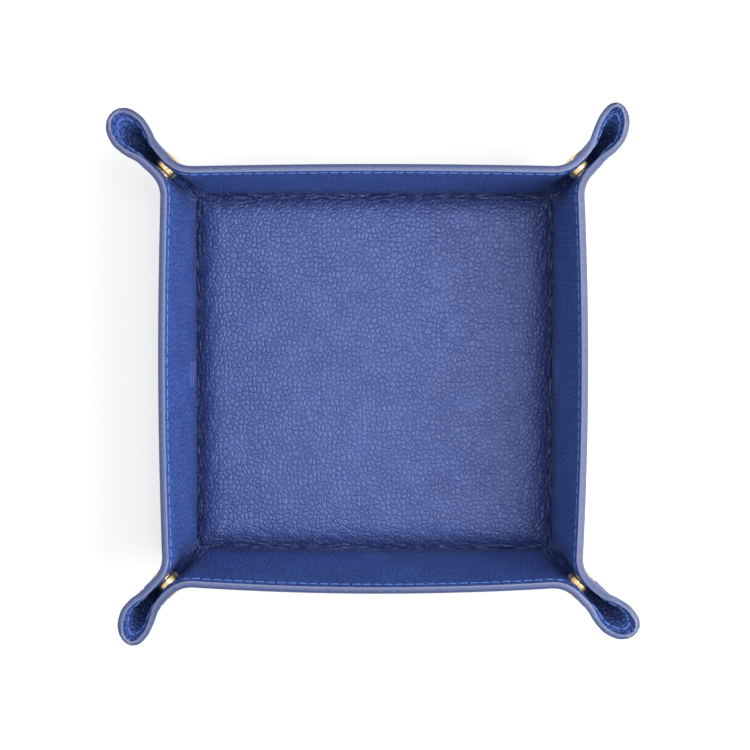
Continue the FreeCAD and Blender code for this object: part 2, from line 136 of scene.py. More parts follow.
def smooth_max(p: Array, q: Array | float, width: float) -> Array:
    """The larger of two values, with a rounded change between them."""
    return 0.5 * (p + q + np.sqrt((p - q) ** 2 + width**2))


def soft_split(distance: Array, reach: Array | float) -> tuple[Array, Array]:
    """Splits a distance across a rounded bend into the parts before and after it.

    Args:
        distance: Signed distance from the bend line, on the flat sheet.
        reach: Half the width of the bend.

    Returns:
        The part before the bend, up to 0, and the part after it, from 0. They add up to distance.
    """
    t = np.clip((distance + reach) / (2 * reach), 0.0, 1.0)
    after = np.where(distance >= reach, distance, reach * t * t)
    before = np.where(distance <= -reach, distance, -reach * (1 - t) ** 2)
    return before, after


def smooth_curve(knots: tuple[float, ...], values: tuple[float, ...], x: Array) -> Array:
    """A cubic curve through a few chosen values, with no overshoot between them.

    Args:
        knots: Places of the values, rising.
        values: The value at each knot.
        x: Where the curve is read.

    Returns:
        The curve's values at x, held level past both ends.
    """
    k, v = np.array(knots), np.array(values)
    step = np.diff(k)
    slope = np.diff(v) / step
    tangent = np.zeros_like(v)
    same_way = slope[:-1] * slope[1:] > 0
    total = np.where(same_way, slope[:-1] + slope[1:], 1.0)
    tangent[1:-1] = np.where(same_way, 2 * slope[:-1] * slope[1:] / total, 0.0)
    i = np.clip(np.searchsorted(k, x) - 1, 0, len(step) - 1)
    t = np.clip((x - k[i]) / step[i], 0.0, 1.0)
    lead = t * (1 - t) ** 2 * step[i]
    trail = t * t * (t - 1) * step[i]
    return v[i] + (v[i + 1] - v[i]) * smoothstep(t) + lead * tangent[i] + trail * tangent[i + 1]


def solve_rising(function: Callable[[Array], Array], low: Array, high: Array) -> Array:
    """Finds where a rising function is zero, by halving.

    Args:
        function: Takes an array and gives values that rise with it.
        low: Lower ends of the search.
        high: Upper ends of the search.

    Returns:
        The places where the function crosses zero.
    """
    low, high = np.array(low, float), np.array(high, float)
    for _ in range(HALVINGS):
        middle = 0.5 * (low + high)
        below = function(middle) < 0
        low = np.where(below, middle, low)
        high = np.where(below, high, middle)
    return 0.5 * (low + high)


def ruffle(x: Array, y: Array, seed: float) -> Array:
    """An uneven ripple between about -1 and 1, made of crossing waves of unrelated lengths."""
    first = np.sin(1.00 * x + 0.73 * y + 1.7 * seed) * np.sin(0.41 * x - 1.13 * y + 2.9 * seed)
    second = np.sin(1.93 * x - 0.57 * y + 4.1 * seed) * np.sin(-0.87 * x + 1.71 * y + 0.6 * seed)
    return 0.62 * first + 0.38 * second


def unit(vectors: Array) -> Array:
    """The vectors at length 1."""
    return vectors / np.linalg.norm(vectors, axis=-1, keepdims=True)


def along_ear(x: Array, s: Array) -> tuple[Array, Array]:
    """Turns flat places along and up a wall into places along the ear's diagonal and away from it."""
    return (x + s) / ROOT2, (s - x) / ROOT2


def off_ear(a: Array, b: Array) -> tuple[Array, Array]:
    """Turns places along an ear's diagonal and away from it into flat places along and up the wall."""
    return (a - b) / ROOT2, (a + b) / ROOT2


@dataclass(frozen=True)
class Pattern:
    """Cut and fold sizes of the leather sheet, in millimetres and radians."""

    floor_half: float = 63.0
    wall_height: float = 37.0
    half_thickness: float = 1.2
    lean: float = math.radians(10.0)
    half_gap: float = 1.55
    corner_radius: float = 9.2
    fold_reach: float = 1.6
    crease_reach: float = 2.2
    rim_crease_reach: float = 5.5
    rim_crease_depth: float = 9.0
    edge_round: float = 0.45
    stitch_inset: float = 3.0
    stitch_groove: float = 0.14
    stitch_groove_width: float = 0.55
    skive: float = 0.45
    skive_ramp: Ramp = (0.3, 1.6)
    gather_along: Ramp = (0.5, 3.0)
    gather_across: Ramp = (1.2, 1.5)
    probe: float = 0.04

    @property
    def fold_offset(self) -> float:
        """How far the middle of the sheet folds outside the lining."""
        return self.half_thickness * (1 - math.sin(self.lean)) / math.cos(self.lean)

    @property
    def fold_line(self) -> float:
        """Distance of the folded middle of the sheet from the tray's centre."""
        return self.floor_half + self.fold_offset

    @property
    def middle_gap(self) -> float:
        """Distance of an ear side's middle from the ear's own plane."""
        return self.half_gap + self.half_thickness

    @property
    def twist(self) -> float:
        """Turn of an ear side within its own plane."""
        return math.atan(ROOT2 * math.tan(self.lean)) - math.atan(math.sin(self.lean))

    @property
    def side_turn(self) -> float:
        """Angle by which an ear side turns away from its wall."""
        return math.acos(math.cos(self.lean) / ROOT2)

    @property
    def crease_shift(self) -> float:
        """How far the crease of the sheet's middle lies from the crease of its lining."""
        return self.half_thickness * math.tan(self.side_turn / 2)

    @property
    def crease_stretch(self) -> float:
        """Run along the wall for each millimetre at right angles to the crease."""
        return math.hypot(1.0, math.sin(self.lean))

    @property
    def crease_normal(self) -> Array:
        """Direction across the crease, on the flat sheet, from wall to ear."""
        return np.array([1.0, -math.sin(self.lean)]) / self.crease_stretch

    @property
    def corner_centre(self) -> float:
        """Place of the centre of the cut corner's arc, from the floor's corner."""
        return self.wall_height - self.corner_radius

    @property
    def wall_up(self) -> Array:
        """Direction up the back wall."""
        return np.array([0.0, math.sin(self.lean), math.cos(self.lean)])

    @property
    def wall_in(self) -> Array:
        """Direction from the back wall into the tray."""
        return np.array([0.0, -math.cos(self.lean), math.sin(self.lean)])

    @property
    def corner_in(self) -> Array:
        """Direction from the edge between the back and right walls into the tray."""
        return unit(np.array([-math.cos(self.lean), -math.cos(self.lean), 2 * math.sin(self.lean)]))

    def below_rim(self, x: Array, s: Array) -> Array:
        """Distance of a point of the flat sheet from its cut edge."""
        c = self.corner_centre
        in_corner = (x > c) & (s > c)
        return np.where(in_corner, self.corner_radius - np.hypot(x - c, s - c), self.wall_height - s)

    def thickness_at(self, inset: Array, s: Array) -> Array:
        """Half the sheet's thickness, drawn in along the stitches and pared thin under the floor."""
        groove = hump(inset, self.stitch_inset, self.stitch_groove_width)
        pared = rise(-s, *self.skive_ramp)
        return (self.half_thickness - self.stitch_groove * groove) * (1 - self.skive * pared)


@dataclass(frozen=True)
class LoopShape:
    """Section of an ear's loop along the ear, in millimetres: a round nose and a flare into each side."""

    along: tuple[float, ...] = (4.0, 20.0, 27.0, 34.0, 40.0, 44.0, 48.6)
    nose_radius: tuple[float, ...] = (2.95, 2.95, 2.98, 3.2, 4.35, 4.75, 4.7)
    flare_radius: tuple[float, ...] = (4.0, 4.0, 4.9, 20.0, 46.0, 34.0, 8.6)
    fullness_ramp: Ramp = (25.0, 12.0)
    rim_flare: float = 1.05
    rim_flare_place: float = 11.2
    rim_flare_width: float = 3.4
    rim_flare_depth: float = 8.0
    rim_flare_most: float = 1.1
    spread: float = 0.22
    spread_place: float = 8.8
    spread_width: float = 6.0
    spread_ramp: Ramp = (30.0, 9.0)
    flat_margin: float = 0.6
    seam_margin: float = 1.6
    seam_least: float = 0.4
    rounding: float = 0.5
    corner_ramp: Ramp = (1.0, 7.0)
    swing_start: float = 13.0
    swing_end: float = 36.6
    swing_most: float = 2.0


@dataclass(frozen=True)
class FoldedHalf:
    """Half a wall with the ear side at its end, folded from the flat sheet.

    The sheet's flat coordinates are x along the wall and s up it, from the floor's corner. On an
    ear, a runs along the diagonal and b away from it. The wall's rim bows out at its middle. The
    ear's tip swings out of the diagonal, towards this wall, and reaches out along it, and its loop
    opens by its fullness, as a share.
    """

    pattern: Pattern
    loop: LoopShape
    bow: float
    swing: float
    fullness: float
    reach: float

    def crease_x(self, s: Array) -> Array:
        """Where the crease crosses height s."""
        p = self.pattern
        return -ROOT2 * p.half_gap + s * math.sin(p.lean) - p.crease_shift * p.crease_stretch

    def wall(self, x: Array, s: Array) -> Array:
        """Middle of the sheet on the back wall."""
        p = self.pattern
        across = x + p.floor_half
        up = s + p.fold_offset
        share = up / (p.wall_height + p.fold_offset)
        bulge = self.bow * share * (1 - (across / (p.floor_half + self.crease_x(s))) ** 2)
        level = np.ones_like(across)
        foot = np.stack([across, p.fold_line * level, p.half_thickness * level], -1)
        return foot + up[..., None] * p.wall_up - bulge[..., None] * p.wall_in

    def room(self, a: Array) -> Array:
        """Width of sheet between the diagonal and the crease, at places along the ear."""
        p, margin = self.pattern, self.loop.flat_margin
        slope = math.sin(p.lean)
        width = ((1 - slope) * a + 2 * p.half_gap) / (1 + slope) - margin
        return smooth_max(width, margin, margin)

    def roll(self, a: Array) -> tuple[Array, ...]:
        """Flare radius, nose radius, reach, turn and length of the curved section along the ear."""
        loop = self.loop
        flare = smooth_curve(loop.along, loop.flare_radius, a)
        nose = smooth_curve(loop.along, loop.nose_radius, a)
        reach = np.sqrt((flare + nose) ** 2 - (flare + self.pattern.middle_gap) ** 2)
        turn = np.arcsin(reach / (flare + nose))
        return flare, nose, reach, turn, flare * turn + nose * (turn + math.pi / 2)

    def seam_b(self, a: Array) -> Array:
        """Where the ear's flat side hands over to its loop."""
        loop = self.loop
        by_loop = -(self.roll(a)[-1] + loop.seam_margin)
        by_crease = -(self.room(a) - 0.5 * loop.flat_margin)
        return np.maximum(-smooth_max(by_loop, by_crease, loop.rounding), loop.seam_least)

    def section(self, a: Array, b: Array) -> tuple[Array, Array]:
        """Rolled section of the ear.

        Args:
            a: Places along the ear.
            b: Distances from the diagonal, on the flat sheet.

        Returns:
            Distance along the ear side's plane from the diagonal, and out of the ear's own plane.
        """
        gap = self.pattern.middle_gap
        flare, nose, reach, turn, length = self.roll(a)
        room = self.room(a)
        spread = smooth_max(room, length + self.loop.flat_margin, self.loop.rounding)
        rolled = b * spread / room
        run = length - rolled
        on_flare = np.clip(run / flare, 0.0, turn)
        on_nose = math.pi / 2 + turn - (run - flare * turn) / nose
        w = np.where(run < 0, -rolled, -length + flare * np.sin(on_flare))
        d = np.where(run < 0, gap, gap + flare * (1 - np.cos(on_flare)))
        past = run >= flare * turn
        w = np.where(past, -length + reach + nose * np.cos(on_nose), w)
        d = np.where(past, nose * np.sin(on_nose), d)
        return w + spread - room, d

    def ear_point(self, a: Array, w: Array, d: Array) -> Array:
        """Place of a point of the ear, from its distances along, across and out of the ear's plane."""
        p, loop = self.pattern, self.loop
        out = (a + w) / ROOT2 + ROOT2 * p.half_gap
        up = (a - w) / ROOT2
        e = out * math.cos(p.twist) + up * math.sin(p.twist) - p.half_gap
        z = 2 * p.half_thickness + up * math.cos(p.twist) - out * math.sin(p.twist)
        share = np.clip((e - loop.swing_start) / (loop.swing_end - loop.swing_start), 0.0, loop.swing_most)
        d = d + self.swing * share**2
        e = e + self.reach * share**2
        return np.stack([p.floor_half + (e - d) / ROOT2, p.floor_half + (e + d) / ROOT2, z], -1)

    def rim_shape(self, x: Array, s: Array) -> Array:
        """How far the ear's rim flares out along the loop and leans apart over the snap."""
        loop = self.loop
        _, b = along_ear(x, s)
        beside = hump(b, loop.rim_flare_place, loop.rim_flare_width)
        depth = np.clip(1 - self.pattern.below_rim(x, s) / loop.rim_flare_depth, 0.0, loop.rim_flare_most)
        over = hump(x, loop.spread_place, loop.spread_width)
        return loop.rim_flare * beside * depth**2 + loop.spread * over * rise(s, *loop.spread_ramp)

    def ear(self, x: Array, s: Array) -> Array:
        """Middle of the sheet on the ear, with the sheet gathered into the floor's corner low down."""
        p, loop = self.pattern, self.loop
        shift = 2 * p.crease_shift * p.crease_normal
        ear_x, ear_s = x + shift[0], s + shift[1]
        a, b = along_ear(ear_x, ear_s)
        w, d = self.section(a, b)
        opened = 1 + (self.fullness - 1) * rise(a, *loop.fullness_ramp)
        rolled = self.ear_point(a, w, (d + self.rim_shape(ear_x, ear_s)) * opened)
        share = np.clip(b / self.room(a), 0.0, 1.0)
        wall_depth = p.fold_offset + (s + p.fold_offset) * math.sin(p.lean)
        corner = self.wall(x * share + wall_depth * (1 - share), s)
        return corner + (rolled - corner) * rise(a, *loop.corner_ramp)[..., None]

    def middle(self, x: Array, s: Array) -> Array:
        """Middle of the folded sheet at flat places, with rounded fold and crease."""
        p = self.pattern
        before_fold, after_fold = soft_split(s + p.fold_offset, p.fold_reach)
        up = after_fold - p.fold_offset
        normal = p.crease_normal
        distance = (x - self.crease_x(up)) * normal[0]
        foot_x, foot_s = x - distance * normal[0], up - distance * normal[1]
        widening = rise(up, p.wall_height - p.rim_crease_depth, p.rim_crease_depth)
        reach = p.crease_reach + (p.rim_crease_reach - p.crease_reach) * widening
        before, after = soft_split(distance, reach)
        on_wall = self.wall(foot_x + before * normal[0], foot_s + before * normal[1])
        on_ear = self.ear(foot_x + after * normal[0], foot_s + after * normal[1])
        bent = on_wall + on_ear - self.wall(foot_x, foot_s)
        a, b = along_ear(x, up)
        in_corner = np.where(x > self.crease_x(up), 1 - np.clip(b / self.room(a), 0.0, 1.0), 0.0)
        return bent + np.stack([before_fold * in_corner, before_fold, np.zeros_like(s)], -1)

    def frame(self, x: Array, s: Array) -> tuple[Array, Array]:
        """Middle of the folded sheet and the direction out of its lining.

        Args:
            x: Flat places along the wall.
            s: Flat places up the wall.

        Returns:
            Points and unit normals.
        """
        p = self.pattern
        along = self.middle(x + p.probe, s) - self.middle(x - p.probe, s)
        up = self.middle(x, s + p.probe) - self.middle(x, s - p.probe)
        face = np.cross(along, up) / (2 * p.probe) ** 2
        a, b = along_ear(x, s)
        gathered = ((1 - rise(a, *p.gather_along)) * (1 - rise(b, *p.gather_across)))[..., None]
        return self.middle(x, s), unit(face * (1 - gathered) + p.corner_in * gathered)


@dataclass(frozen=True)
class Placing:
    """Turns the back wall's right end into any end of any wall."""

    wall: Wall
    end: End

    def points(self, local: Array) -> Array:
        """Local points or directions, turned into the tray's frame."""
        x, y = local[..., 0] * self.end.value, local[..., 1]
        for _ in range(self.wall.turns):
            x, y = -y, x
        return np.stack([x, y, local[..., 2]], -1)

    @property
    def flips(self) -> bool:
        """Whether faces turn inside out."""
        return self.end is End.LEFT

    @property
    def neighbour(self) -> str:
        """Name of the wall at this end."""
        return self.wall.value[2] if self.end is End.RIGHT else self.wall.value[3]

    @property
    def side(self) -> str:
        """Name of the ear side at this end."""
        return f"{self.wall.word}_{self.neighbour}"


@dataclass
class MeshParts:
    """Points, faces and per-point notes of a mesh that is being put together."""

    points: list[Array] = field(default_factory=list)
    flats: list[Array] = field(default_factory=list)
    folds: list[Array] = field(default_factory=list)
    faces: list[tuple[int, ...]] = field(default_factory=list)
    finishes: list[int] = field(default_factory=list)
    count: int = 0

    def add_points(self, points: Array, flat: Array, fold: Array) -> Array:
        """Adds a block of points.

        Args:
            points: Places in millimetres.
            flat: Their places on the flat sheet, for the grain, and how much painted shade falls there.
            fold: Place along a fold, distance from it, and how strongly it wrinkles there.

        Returns:
            The points' numbers, in the block's own layout.
        """
        shape = points.shape[:-1]
        total = int(np.prod(shape))
        for kept, block in ((self.points, points), (self.flats, flat), (self.folds, fold)):
            kept.append(block.reshape(-1, 3))
        numbers = np.arange(self.count, self.count + total).reshape(shape)
        self.count += total
        return numbers

    def add_faces(self, corners: Array, finish: int = 0) -> None:
        """Adds faces given as rows of point numbers."""
        self.faces.extend(map(tuple, corners.reshape(-1, corners.shape[-1]).tolist()))
        self.finishes.extend([int(finish)] * (corners.size // corners.shape[-1]))

    def add_grid(self, numbers: Array, finish: int = 0, turned: bool = False) -> None:
        """Adds the quads of a grid of points, turned over where asked."""
        quads = np.stack([numbers[:-1, :-1], numbers[1:, :-1], numbers[1:, 1:], numbers[:-1, 1:]], -1)
        self.add_faces(quads[..., ::-1] if turned else quads, finish)

    def build(self, name: str, finishes: list[bpy.types.Material], flipped: bool, sharp: float) -> Piece:
        """Makes the mesh object.

        Args:
            name: Name of the piece.
            finishes: Materials, by finish number.
            flipped: Whether all faces are turned over.
            sharp: Angle in degrees above which an edge shows as sharp.

        Returns:
            The new object, in metres in the tray's frame.
        """
        mesh = bpy.data.meshes.new(name)
        faces = [face[::-1] for face in self.faces] if flipped else self.faces
        mesh.from_pydata((np.concatenate(self.points) * MM).tolist(), [], faces)
        mesh.polygons.foreach_set("material_index", self.finishes)
        mesh.polygons.foreach_set("use_smooth", [True] * len(faces))
        for label, values in (("flat", self.flats), ("fold", self.folds)):
            layer = mesh.attributes.new(label, "FLOAT_VECTOR", "POINT")
            layer.data.foreach_set("vector", np.concatenate(values).astype(np.float32).ravel())
        for finish in finishes:
            mesh.materials.append(finish)
        mesh.validate()
        mesh.update()
        mesh.set_sharp_from_angle(angle=math.radians(sharp))
        piece = bpy.data.objects.new(name, mesh)
        bpy.context.scene.collection.objects.link(piece)
        return piece


class NodeSheet:
    """The node tree of a material or world, with short calls for the nodes that the finishes use."""

    def __init__(self, owner: bpy.types.Material | bpy.types.World) -> None:
        """Empties the owner's tree."""
        owner.use_nodes = True
        self.owner = owner
        self.tree = owner.node_tree
        self.tree.nodes.clear()

    def add(self, kind: str, settings: dict | None = None, **inputs: object) -> bpy.types.Node:
        """Adds a node.

        Args:
            kind: Node type, without its ShaderNode prefix.
            settings: Properties of the node.
            **inputs: Values or sockets, by input name with underscores for spaces, or by the letter
                i and the input's number.

        Returns:
            The new node.
        """
        node = self.tree.nodes.new("ShaderNode" + kind)
        for key, value in (settings or {}).items():
            setattr(node, key, value)
        for key, value in inputs.items():
            numbered = key[0] == "i" and key[1:].isdigit()
            socket = node.inputs[int(key[1:]) if numbered else key.replace("_", " ")]
            if isinstance(value, Socket):
                self.tree.links.new(value, socket)
            else:
                socket.default_value = value
        return node

    def math(self, operation: str, first: object, second: object = 0.0) -> Socket:
        """A value worked out from one or two others."""
        return self.add("Math", {"operation": operation}, i0=first, i1=second).outputs[0]

    def times(self, first: object, second: object) -> Socket:
        """A product of two values."""
        return self.math("MULTIPLY", first, second)

    def split(self, vector: Socket) -> list[Socket]:
        """The three parts of a vector."""
        return list(self.add("SeparateXYZ", Vector=vector).outputs)

    def noise(self, place: Socket, scale: float, detail: float = 2.0, roughness: float = 0.5) -> Socket:
        """An uneven value, mostly between 0.3 and 0.7."""
        inputs = {"Scale": scale, "Detail": detail, "Roughness": roughness}
        return self.add("TexNoise", Vector=place, **inputs).outputs["Fac"]

    def ramp(
        self,
        value: Socket,
        low: float,
        high: float,
        start: object = 0.0,
        end: object = 1.0,
        even: bool = False,
    ) -> Socket:
        """A value taken from one range to another, smoothly or evenly."""
        settings = {"interpolation_type": "LINEAR" if even else "SMOOTHSTEP"}
        ends = {"From_Min": low, "From_Max": high, "To_Min": start, "To_Max": end}
        return self.add("MapRange", settings, Value=value, **ends).outputs[0]

    def mix(self, share: object, first: object, second: object) -> Socket:
        """A colour between two colours."""
        return self.add("Mix", {"data_type": "RGBA"}, i0=share, i6=first, i7=second).outputs[2]

    def attribute(self, name: str) -> Socket:
        """A vector noted on the mesh."""
        return self.add("Attribute", {"attribute_name": name}).outputs["Vector"]

    def bump(self, height: Socket, depth: float, strength: float, **inputs: object) -> Socket:
        """Normals of a relief whose depth is in millimetres."""
        return self.add("Bump", Strength=strength, Distance=depth * MM, Height=height, **inputs).outputs[0]

    def surface(self, tone: Socket, rough: Socket, normal: Socket, **inputs: object) -> bpy.types.Material:
        """Ends a material with its surface shader."""
        looks = {"Base_Color": tone, "Roughness": rough, "Normal": normal}
        return self.finish(self.add("BsdfPrincipled", **looks, **inputs))

    def finish(self, shader: bpy.types.Node) -> bpy.types.Material | bpy.types.World:
        """Joins the shader to the tree's output."""
        kind = "World" if isinstance(self.owner, bpy.types.World) else "Material"
        self.add("Output" + kind, Surface=shader.outputs[0])
        return self.owner


def linear(red: int, green: int, blue: int) -> Colour:
    """A colour given in 8-bit screen values, as the shader needs it."""
    shares = [value / 255 for value in (red, green, blue)]
    parts = [s / 12.92 if s <= 0.04045 else ((s + 0.055) / 1.055) ** 2.4 for s in shares]
    return (*parts, 1.0)


@dataclass(frozen=True)
class PebbledLeather:
    """Blue full-grain leather with a drummed, pebbled grain, painted shade in its folds, grooves and ear
    hollows, and ridges lightened partly by wear and partly by painted highlight. Grain sizes are in
    millimetres.
    """

    name: str
    colour: Colour
    # Dark tone of the grain's cracks and mottle, also used for painted shade in folds and grooves.
    crevice_and_shade: Colour
    # Lighter tone on wrinkle ridges: part wear, part painted highlight.
    wear_and_highlight: Colour
    # Painted shade colour, laid on deep inside the ears and along their creases.
    painted_shade: Colour
    pebble: float = 1.9
    grain_depth: float = 0.8
    # Painted shade towards folds and creases: how much, and over what distance in millimetres.
    fold_shade_share: float = 0.5
    fold_shade_reach: float = 8.0
    roughness: float = 0.38
    sheen: float = 0.6
    # Scale, reach and shift of each wave by which the grain wanders.
    drifts: tuple[Triple, ...] = ((0.08, 2.0, 7.31), (0.5, 0.5, 3.83), (1.5, 0.2, 5.57))
    split_scale: float = 1.7
    crack_width: float = 0.07
    crack_depth: float = 0.36
    crack_share: float = 0.95
    crack_roughness: float = 0.16
    fade_scale: float = 0.42
    crack_fade: Level = (0.36, 0.56, 0.4, 1.0)
    split_fade: Level = (0.6, 0.42, 0.1, 0.6)
    uneven_scale: float = 0.1
    uneven_fade: Level = (0.3, 0.6, 0.5, 1.0)
    dome_width: float = 0.32
    dome_height: float = 0.46
    pore_scale: float = 1.9
    pore_roughness: float = 0.75
    pore_height: float = 0.5
    ridge_along: float = 0.22
    ridge_across: float = 1.3
    ridge_range: Range = (0.46, 0.68)
    ridge_height: float = 0.7
    ridge_share: float = 0.5
    mottle_scale: float = 0.06
    mottle_fade: Level = (0.3, 0.7, 0.0, 0.2)
    # Painted shade in the grooves of the pleats.
    groove_shade_fade: Level = (0.0, -0.8, 0.0, 0.8)
    painted_shade_share: float = 0.55
    fine_detail: float = 3.0

    def material(self) -> bpy.types.Material:
        """Makes the material."""
        n = NodeSheet(bpy.data.materials.new(self.name))
        flat = n.attribute("flat")
        along, across, wrinkled = n.split(n.attribute("fold"))
        cells, cracks = self.grain(n, flat)
        pores = n.noise(flat, self.pore_scale, self.fine_detail, self.pore_roughness)
        mottle = n.noise(flat, self.mottle_scale, self.fine_detail)
        run, step = n.times(along, self.ridge_along), n.times(across, self.ridge_across)
        wrinkle = n.noise(n.add("CombineXYZ", X=run, Y=step).outputs[0], 1.0, self.fine_detail)
        ridges = n.times(n.ramp(wrinkle, *self.ridge_range), n.math("MAXIMUM", wrinkled, 0.0))
        height = n.times(n.ramp(cells, 0.0, self.dome_width), self.dome_height)
        layers = ((cracks, -self.crack_depth), (pores, self.pore_height), (ridges, self.ridge_height))
        for layer, share in layers:
            height = n.math("ADD", height, n.times(layer, share))
        tone = n.mix(n.ramp(mottle, *self.mottle_fade), self.colour, self.crevice_and_shade)
        # Painted shade: the colour darkens towards each fold and crease, where shade falls.
        fold_shade = n.ramp(n.math("ABSOLUTE", across), 0.0, self.fold_shade_reach, self.fold_shade_share, 0.0)
        tone = n.mix(fold_shade, tone, self.crevice_and_shade)
        tone = n.mix(n.times(cracks, self.crack_share), tone, self.crevice_and_shade)
        # Ridges of folds, pleats and crumples are lightened: part wear, part painted highlight.
        tone = n.mix(n.times(ridges, self.ridge_share), tone, self.wear_and_highlight)
        # Painted shade in the grooves between the pleats round the ears' rims.
        tone = n.mix(n.ramp(wrinkled, *self.groove_shade_fade), tone, self.crevice_and_shade)
        # Painted shade deep inside the ears and along their creases.
        tone = n.mix(n.times(n.split(flat)[2], self.painted_shade_share), tone, self.painted_shade)
        rough = n.ramp(cracks, 0.0, 1.0, self.roughness, self.roughness + self.crack_roughness)
        bump = n.bump(height, self.grain_depth, strength=1.0)
        return n.surface(tone, rough, bump, Specular_IOR_Level=self.sheen)

    def grain(self, n: NodeSheet, flat: Socket) -> tuple[Socket, Socket]:
        """Pebbles and the cracks between and across them, on a grain that wanders.

        Args:
            n: The node tree that grows.
            flat: Place on the flat sheet.

        Returns:
            Sockets with the distance from the pebbles' edges and the strength of the cracks.
        """
        place = flat
        push = {"operation": "MULTIPLY_ADD"}
        for scale, reach, shift in self.drifts:
            spot = n.add("VectorMath", push, i0=flat, i1=(scale,) * 3, i2=(shift,) * 3).outputs[0]
            drift = n.add("TexNoise", Vector=spot, Scale=1.0, Detail=2.0).outputs["Color"]
            place = n.add("VectorMath", push, i0=drift, i1=(reach, reach, 0.0), i2=place).outputs[0]
        edges = {"feature": "DISTANCE_TO_EDGE", "voronoi_dimensions": "2D"}
        cells, splits = (
            n.add("TexVoronoi", edges, Vector=place, Scale=scale / self.pebble).outputs["Distance"]
            for scale in (1.0, self.split_scale)
        )
        fade = n.noise(flat, self.fade_scale)
        deep, shallow = (
            n.times(n.ramp(edge, 0.0, self.crack_width, 1.0, 0.0), n.ramp(fade, *level))
            for edge, level in ((cells, self.crack_fade), (splits, self.split_fade))
        )
        uneven = n.ramp(n.noise(flat, self.uneven_scale), *self.uneven_fade)
        return cells, n.times(n.math("MAXIMUM", deep, shallow), uneven)


@dataclass(frozen=True)
class EdgePaint:
    """Paint on the cut edge, over the two layers of the sheet: greyer on the lining, bluer outside, with a
    painted highlight along the lining's side.
    """

    name: str
    lining: Colour
    outer: Colour
    # Painted highlight along the lining's side of the edge.
    rubbed: Colour
    roughness: Level = (0.3, 0.7, 0.37, 0.55)
    streak_scale: float = 0.5
    streak_height: float = 0.7
    fine_scale: float = 5.0
    fine_height: float = 0.3
    wander: Level = (0.3, 0.7, -0.25, 0.25)
    seam_range: Range = (-0.25, 0.35)
    rubbed_range: Range = (0.7, 1.05)
    relief: float = 0.12

    def material(self) -> bpy.types.Material:
        """Makes the material."""
        n = NodeSheet(bpy.data.materials.new(self.name))
        flat = n.attribute("flat")
        streak = n.noise(flat, self.streak_scale, detail=4.0)
        fine = n.noise(flat, self.fine_scale, detail=3.0)
        layer = n.split(n.attribute("fold"))[1]
        wander = n.math("ADD", layer, n.ramp(streak, *self.wander))
        tone = n.mix(n.ramp(wander, *self.seam_range), self.outer, self.lining)
        # Painted highlight: a broken pale line along the lining's side of the cut edge.
        tone = n.mix(n.times(n.ramp(layer, *self.rubbed_range), fine), tone, self.rubbed)
        height = n.math("ADD", n.times(streak, self.streak_height), n.times(fine, self.fine_height))
        bump = n.bump(height, self.relief, strength=0.4)
        return n.surface(tone, n.ramp(fine, *self.roughness), bump)


@dataclass(frozen=True)
class Thread:
    """Twisted, waxed sewing thread."""

    name: str
    colour: Colour
    dark: Colour
    twist_pitch: float = 0.55
    twist_fade: Level = (0.2, 0.8, 0.7, 0.0)
    distortion: float = 1.5
    fuzz_scale: float = 6.0
    fuzz_height: float = 0.4
    roughness: Level = (0.3, 0.7, 0.35, 0.55)
    relief: float = 0.08

    def material(self) -> bpy.types.Material:
        """Makes the material."""
        n = NodeSheet(bpy.data.materials.new(self.name))
        flat = n.attribute("flat")
        wave = {"Vector": flat, "Scale": 0.5 / self.twist_pitch, "Distortion": self.distortion}
        twist = n.add("TexWave", {"bands_direction": "DIAGONAL"}, **wave).outputs["Fac"]
        fuzz = n.noise(flat, self.fuzz_scale)
        tone = n.mix(n.ramp(twist, *self.twist_fade), self.colour, self.dark)
        height = n.math("ADD", twist, n.times(fuzz, self.fuzz_height))
        bump = n.bump(height, self.relief, strength=0.6)
        return n.surface(tone, n.ramp(fuzz, *self.roughness), bump)


@dataclass(frozen=True)
class PolishedMetal:
    """Pressed metal, polished, with faint handling marks and a painted dark reflection where its edges and
    corners round off.
    """

    name: str
    colour: Colour
    dull: Colour
    # Painted dark reflection on the rounded edges.
    dark_edge_reflection: Colour
    roughness: float
    rough_spread: Range = (-0.05, 0.08)
    rounding: float = 1.0
    mark_scale: float = 900.0
    mark_range: Range = (0.3, 0.75)
    mark_depth: float = 0.04
    cloud_scale: float = 160.0
    cloud_fade: Level = (0.35, 0.75, 0.0, 0.5)
    dark_edge_reflection_fade: Level = (0.97, 0.78, 0.0, 0.9)

    def material(self) -> bpy.types.Material:
        """Makes the material."""
        n = NodeSheet(bpy.data.materials.new(self.name))
        place = n.add("TexCoord").outputs["Object"]
        marks = n.noise(place, self.mark_scale, detail=4.0)
        cloud = n.noise(place, self.cloud_scale)
        tone = n.mix(n.ramp(cloud, *self.cloud_fade), self.colour, self.dull)
        rough = n.ramp(marks, *self.mark_range, *(self.roughness + step for step in self.rough_spread))
        rounded = n.add("Bevel", Radius=self.rounding * MM).outputs[0]
        facing = n.add("NewGeometry").outputs["Normal"]
        level = n.add("VectorMath", {"operation": "DOT_PRODUCT"}, i0=rounded, i1=facing).outputs["Value"]
        # Painted dark reflection where the rounded normal turns away from the flat facet, at edges and
        # corners.
        tone = n.mix(n.ramp(level, *self.dark_edge_reflection_fade), tone, self.dark_edge_reflection)
        bump = n.bump(marks, self.mark_depth, strength=0.12, Normal=rounded)
        return n.surface(tone, rough, bump, Metallic=1.0)


@dataclass(frozen=True)
class PressedBoard:
    """Raw fibreboard inside the floor."""

    name: str
    colour: Colour
    fibre: Colour
    fibre_scale: float = 700.0
    roughness: Level = (0.3, 0.7, 0.75, 0.95)
    relief: float = 0.1

    def material(self) -> bpy.types.Material:
        """Makes the material."""
        n = NodeSheet(bpy.data.materials.new(self.name))
        fibres = n.noise(n.add("TexCoord").outputs["Object"], self.fibre_scale, detail=5.0)
        tone = n.mix(fibres, self.colour, self.fibre)
        bump = n.bump(fibres, self.relief, strength=0.5)
        return n.surface(tone, n.ramp(fibres, *self.roughness), bump)


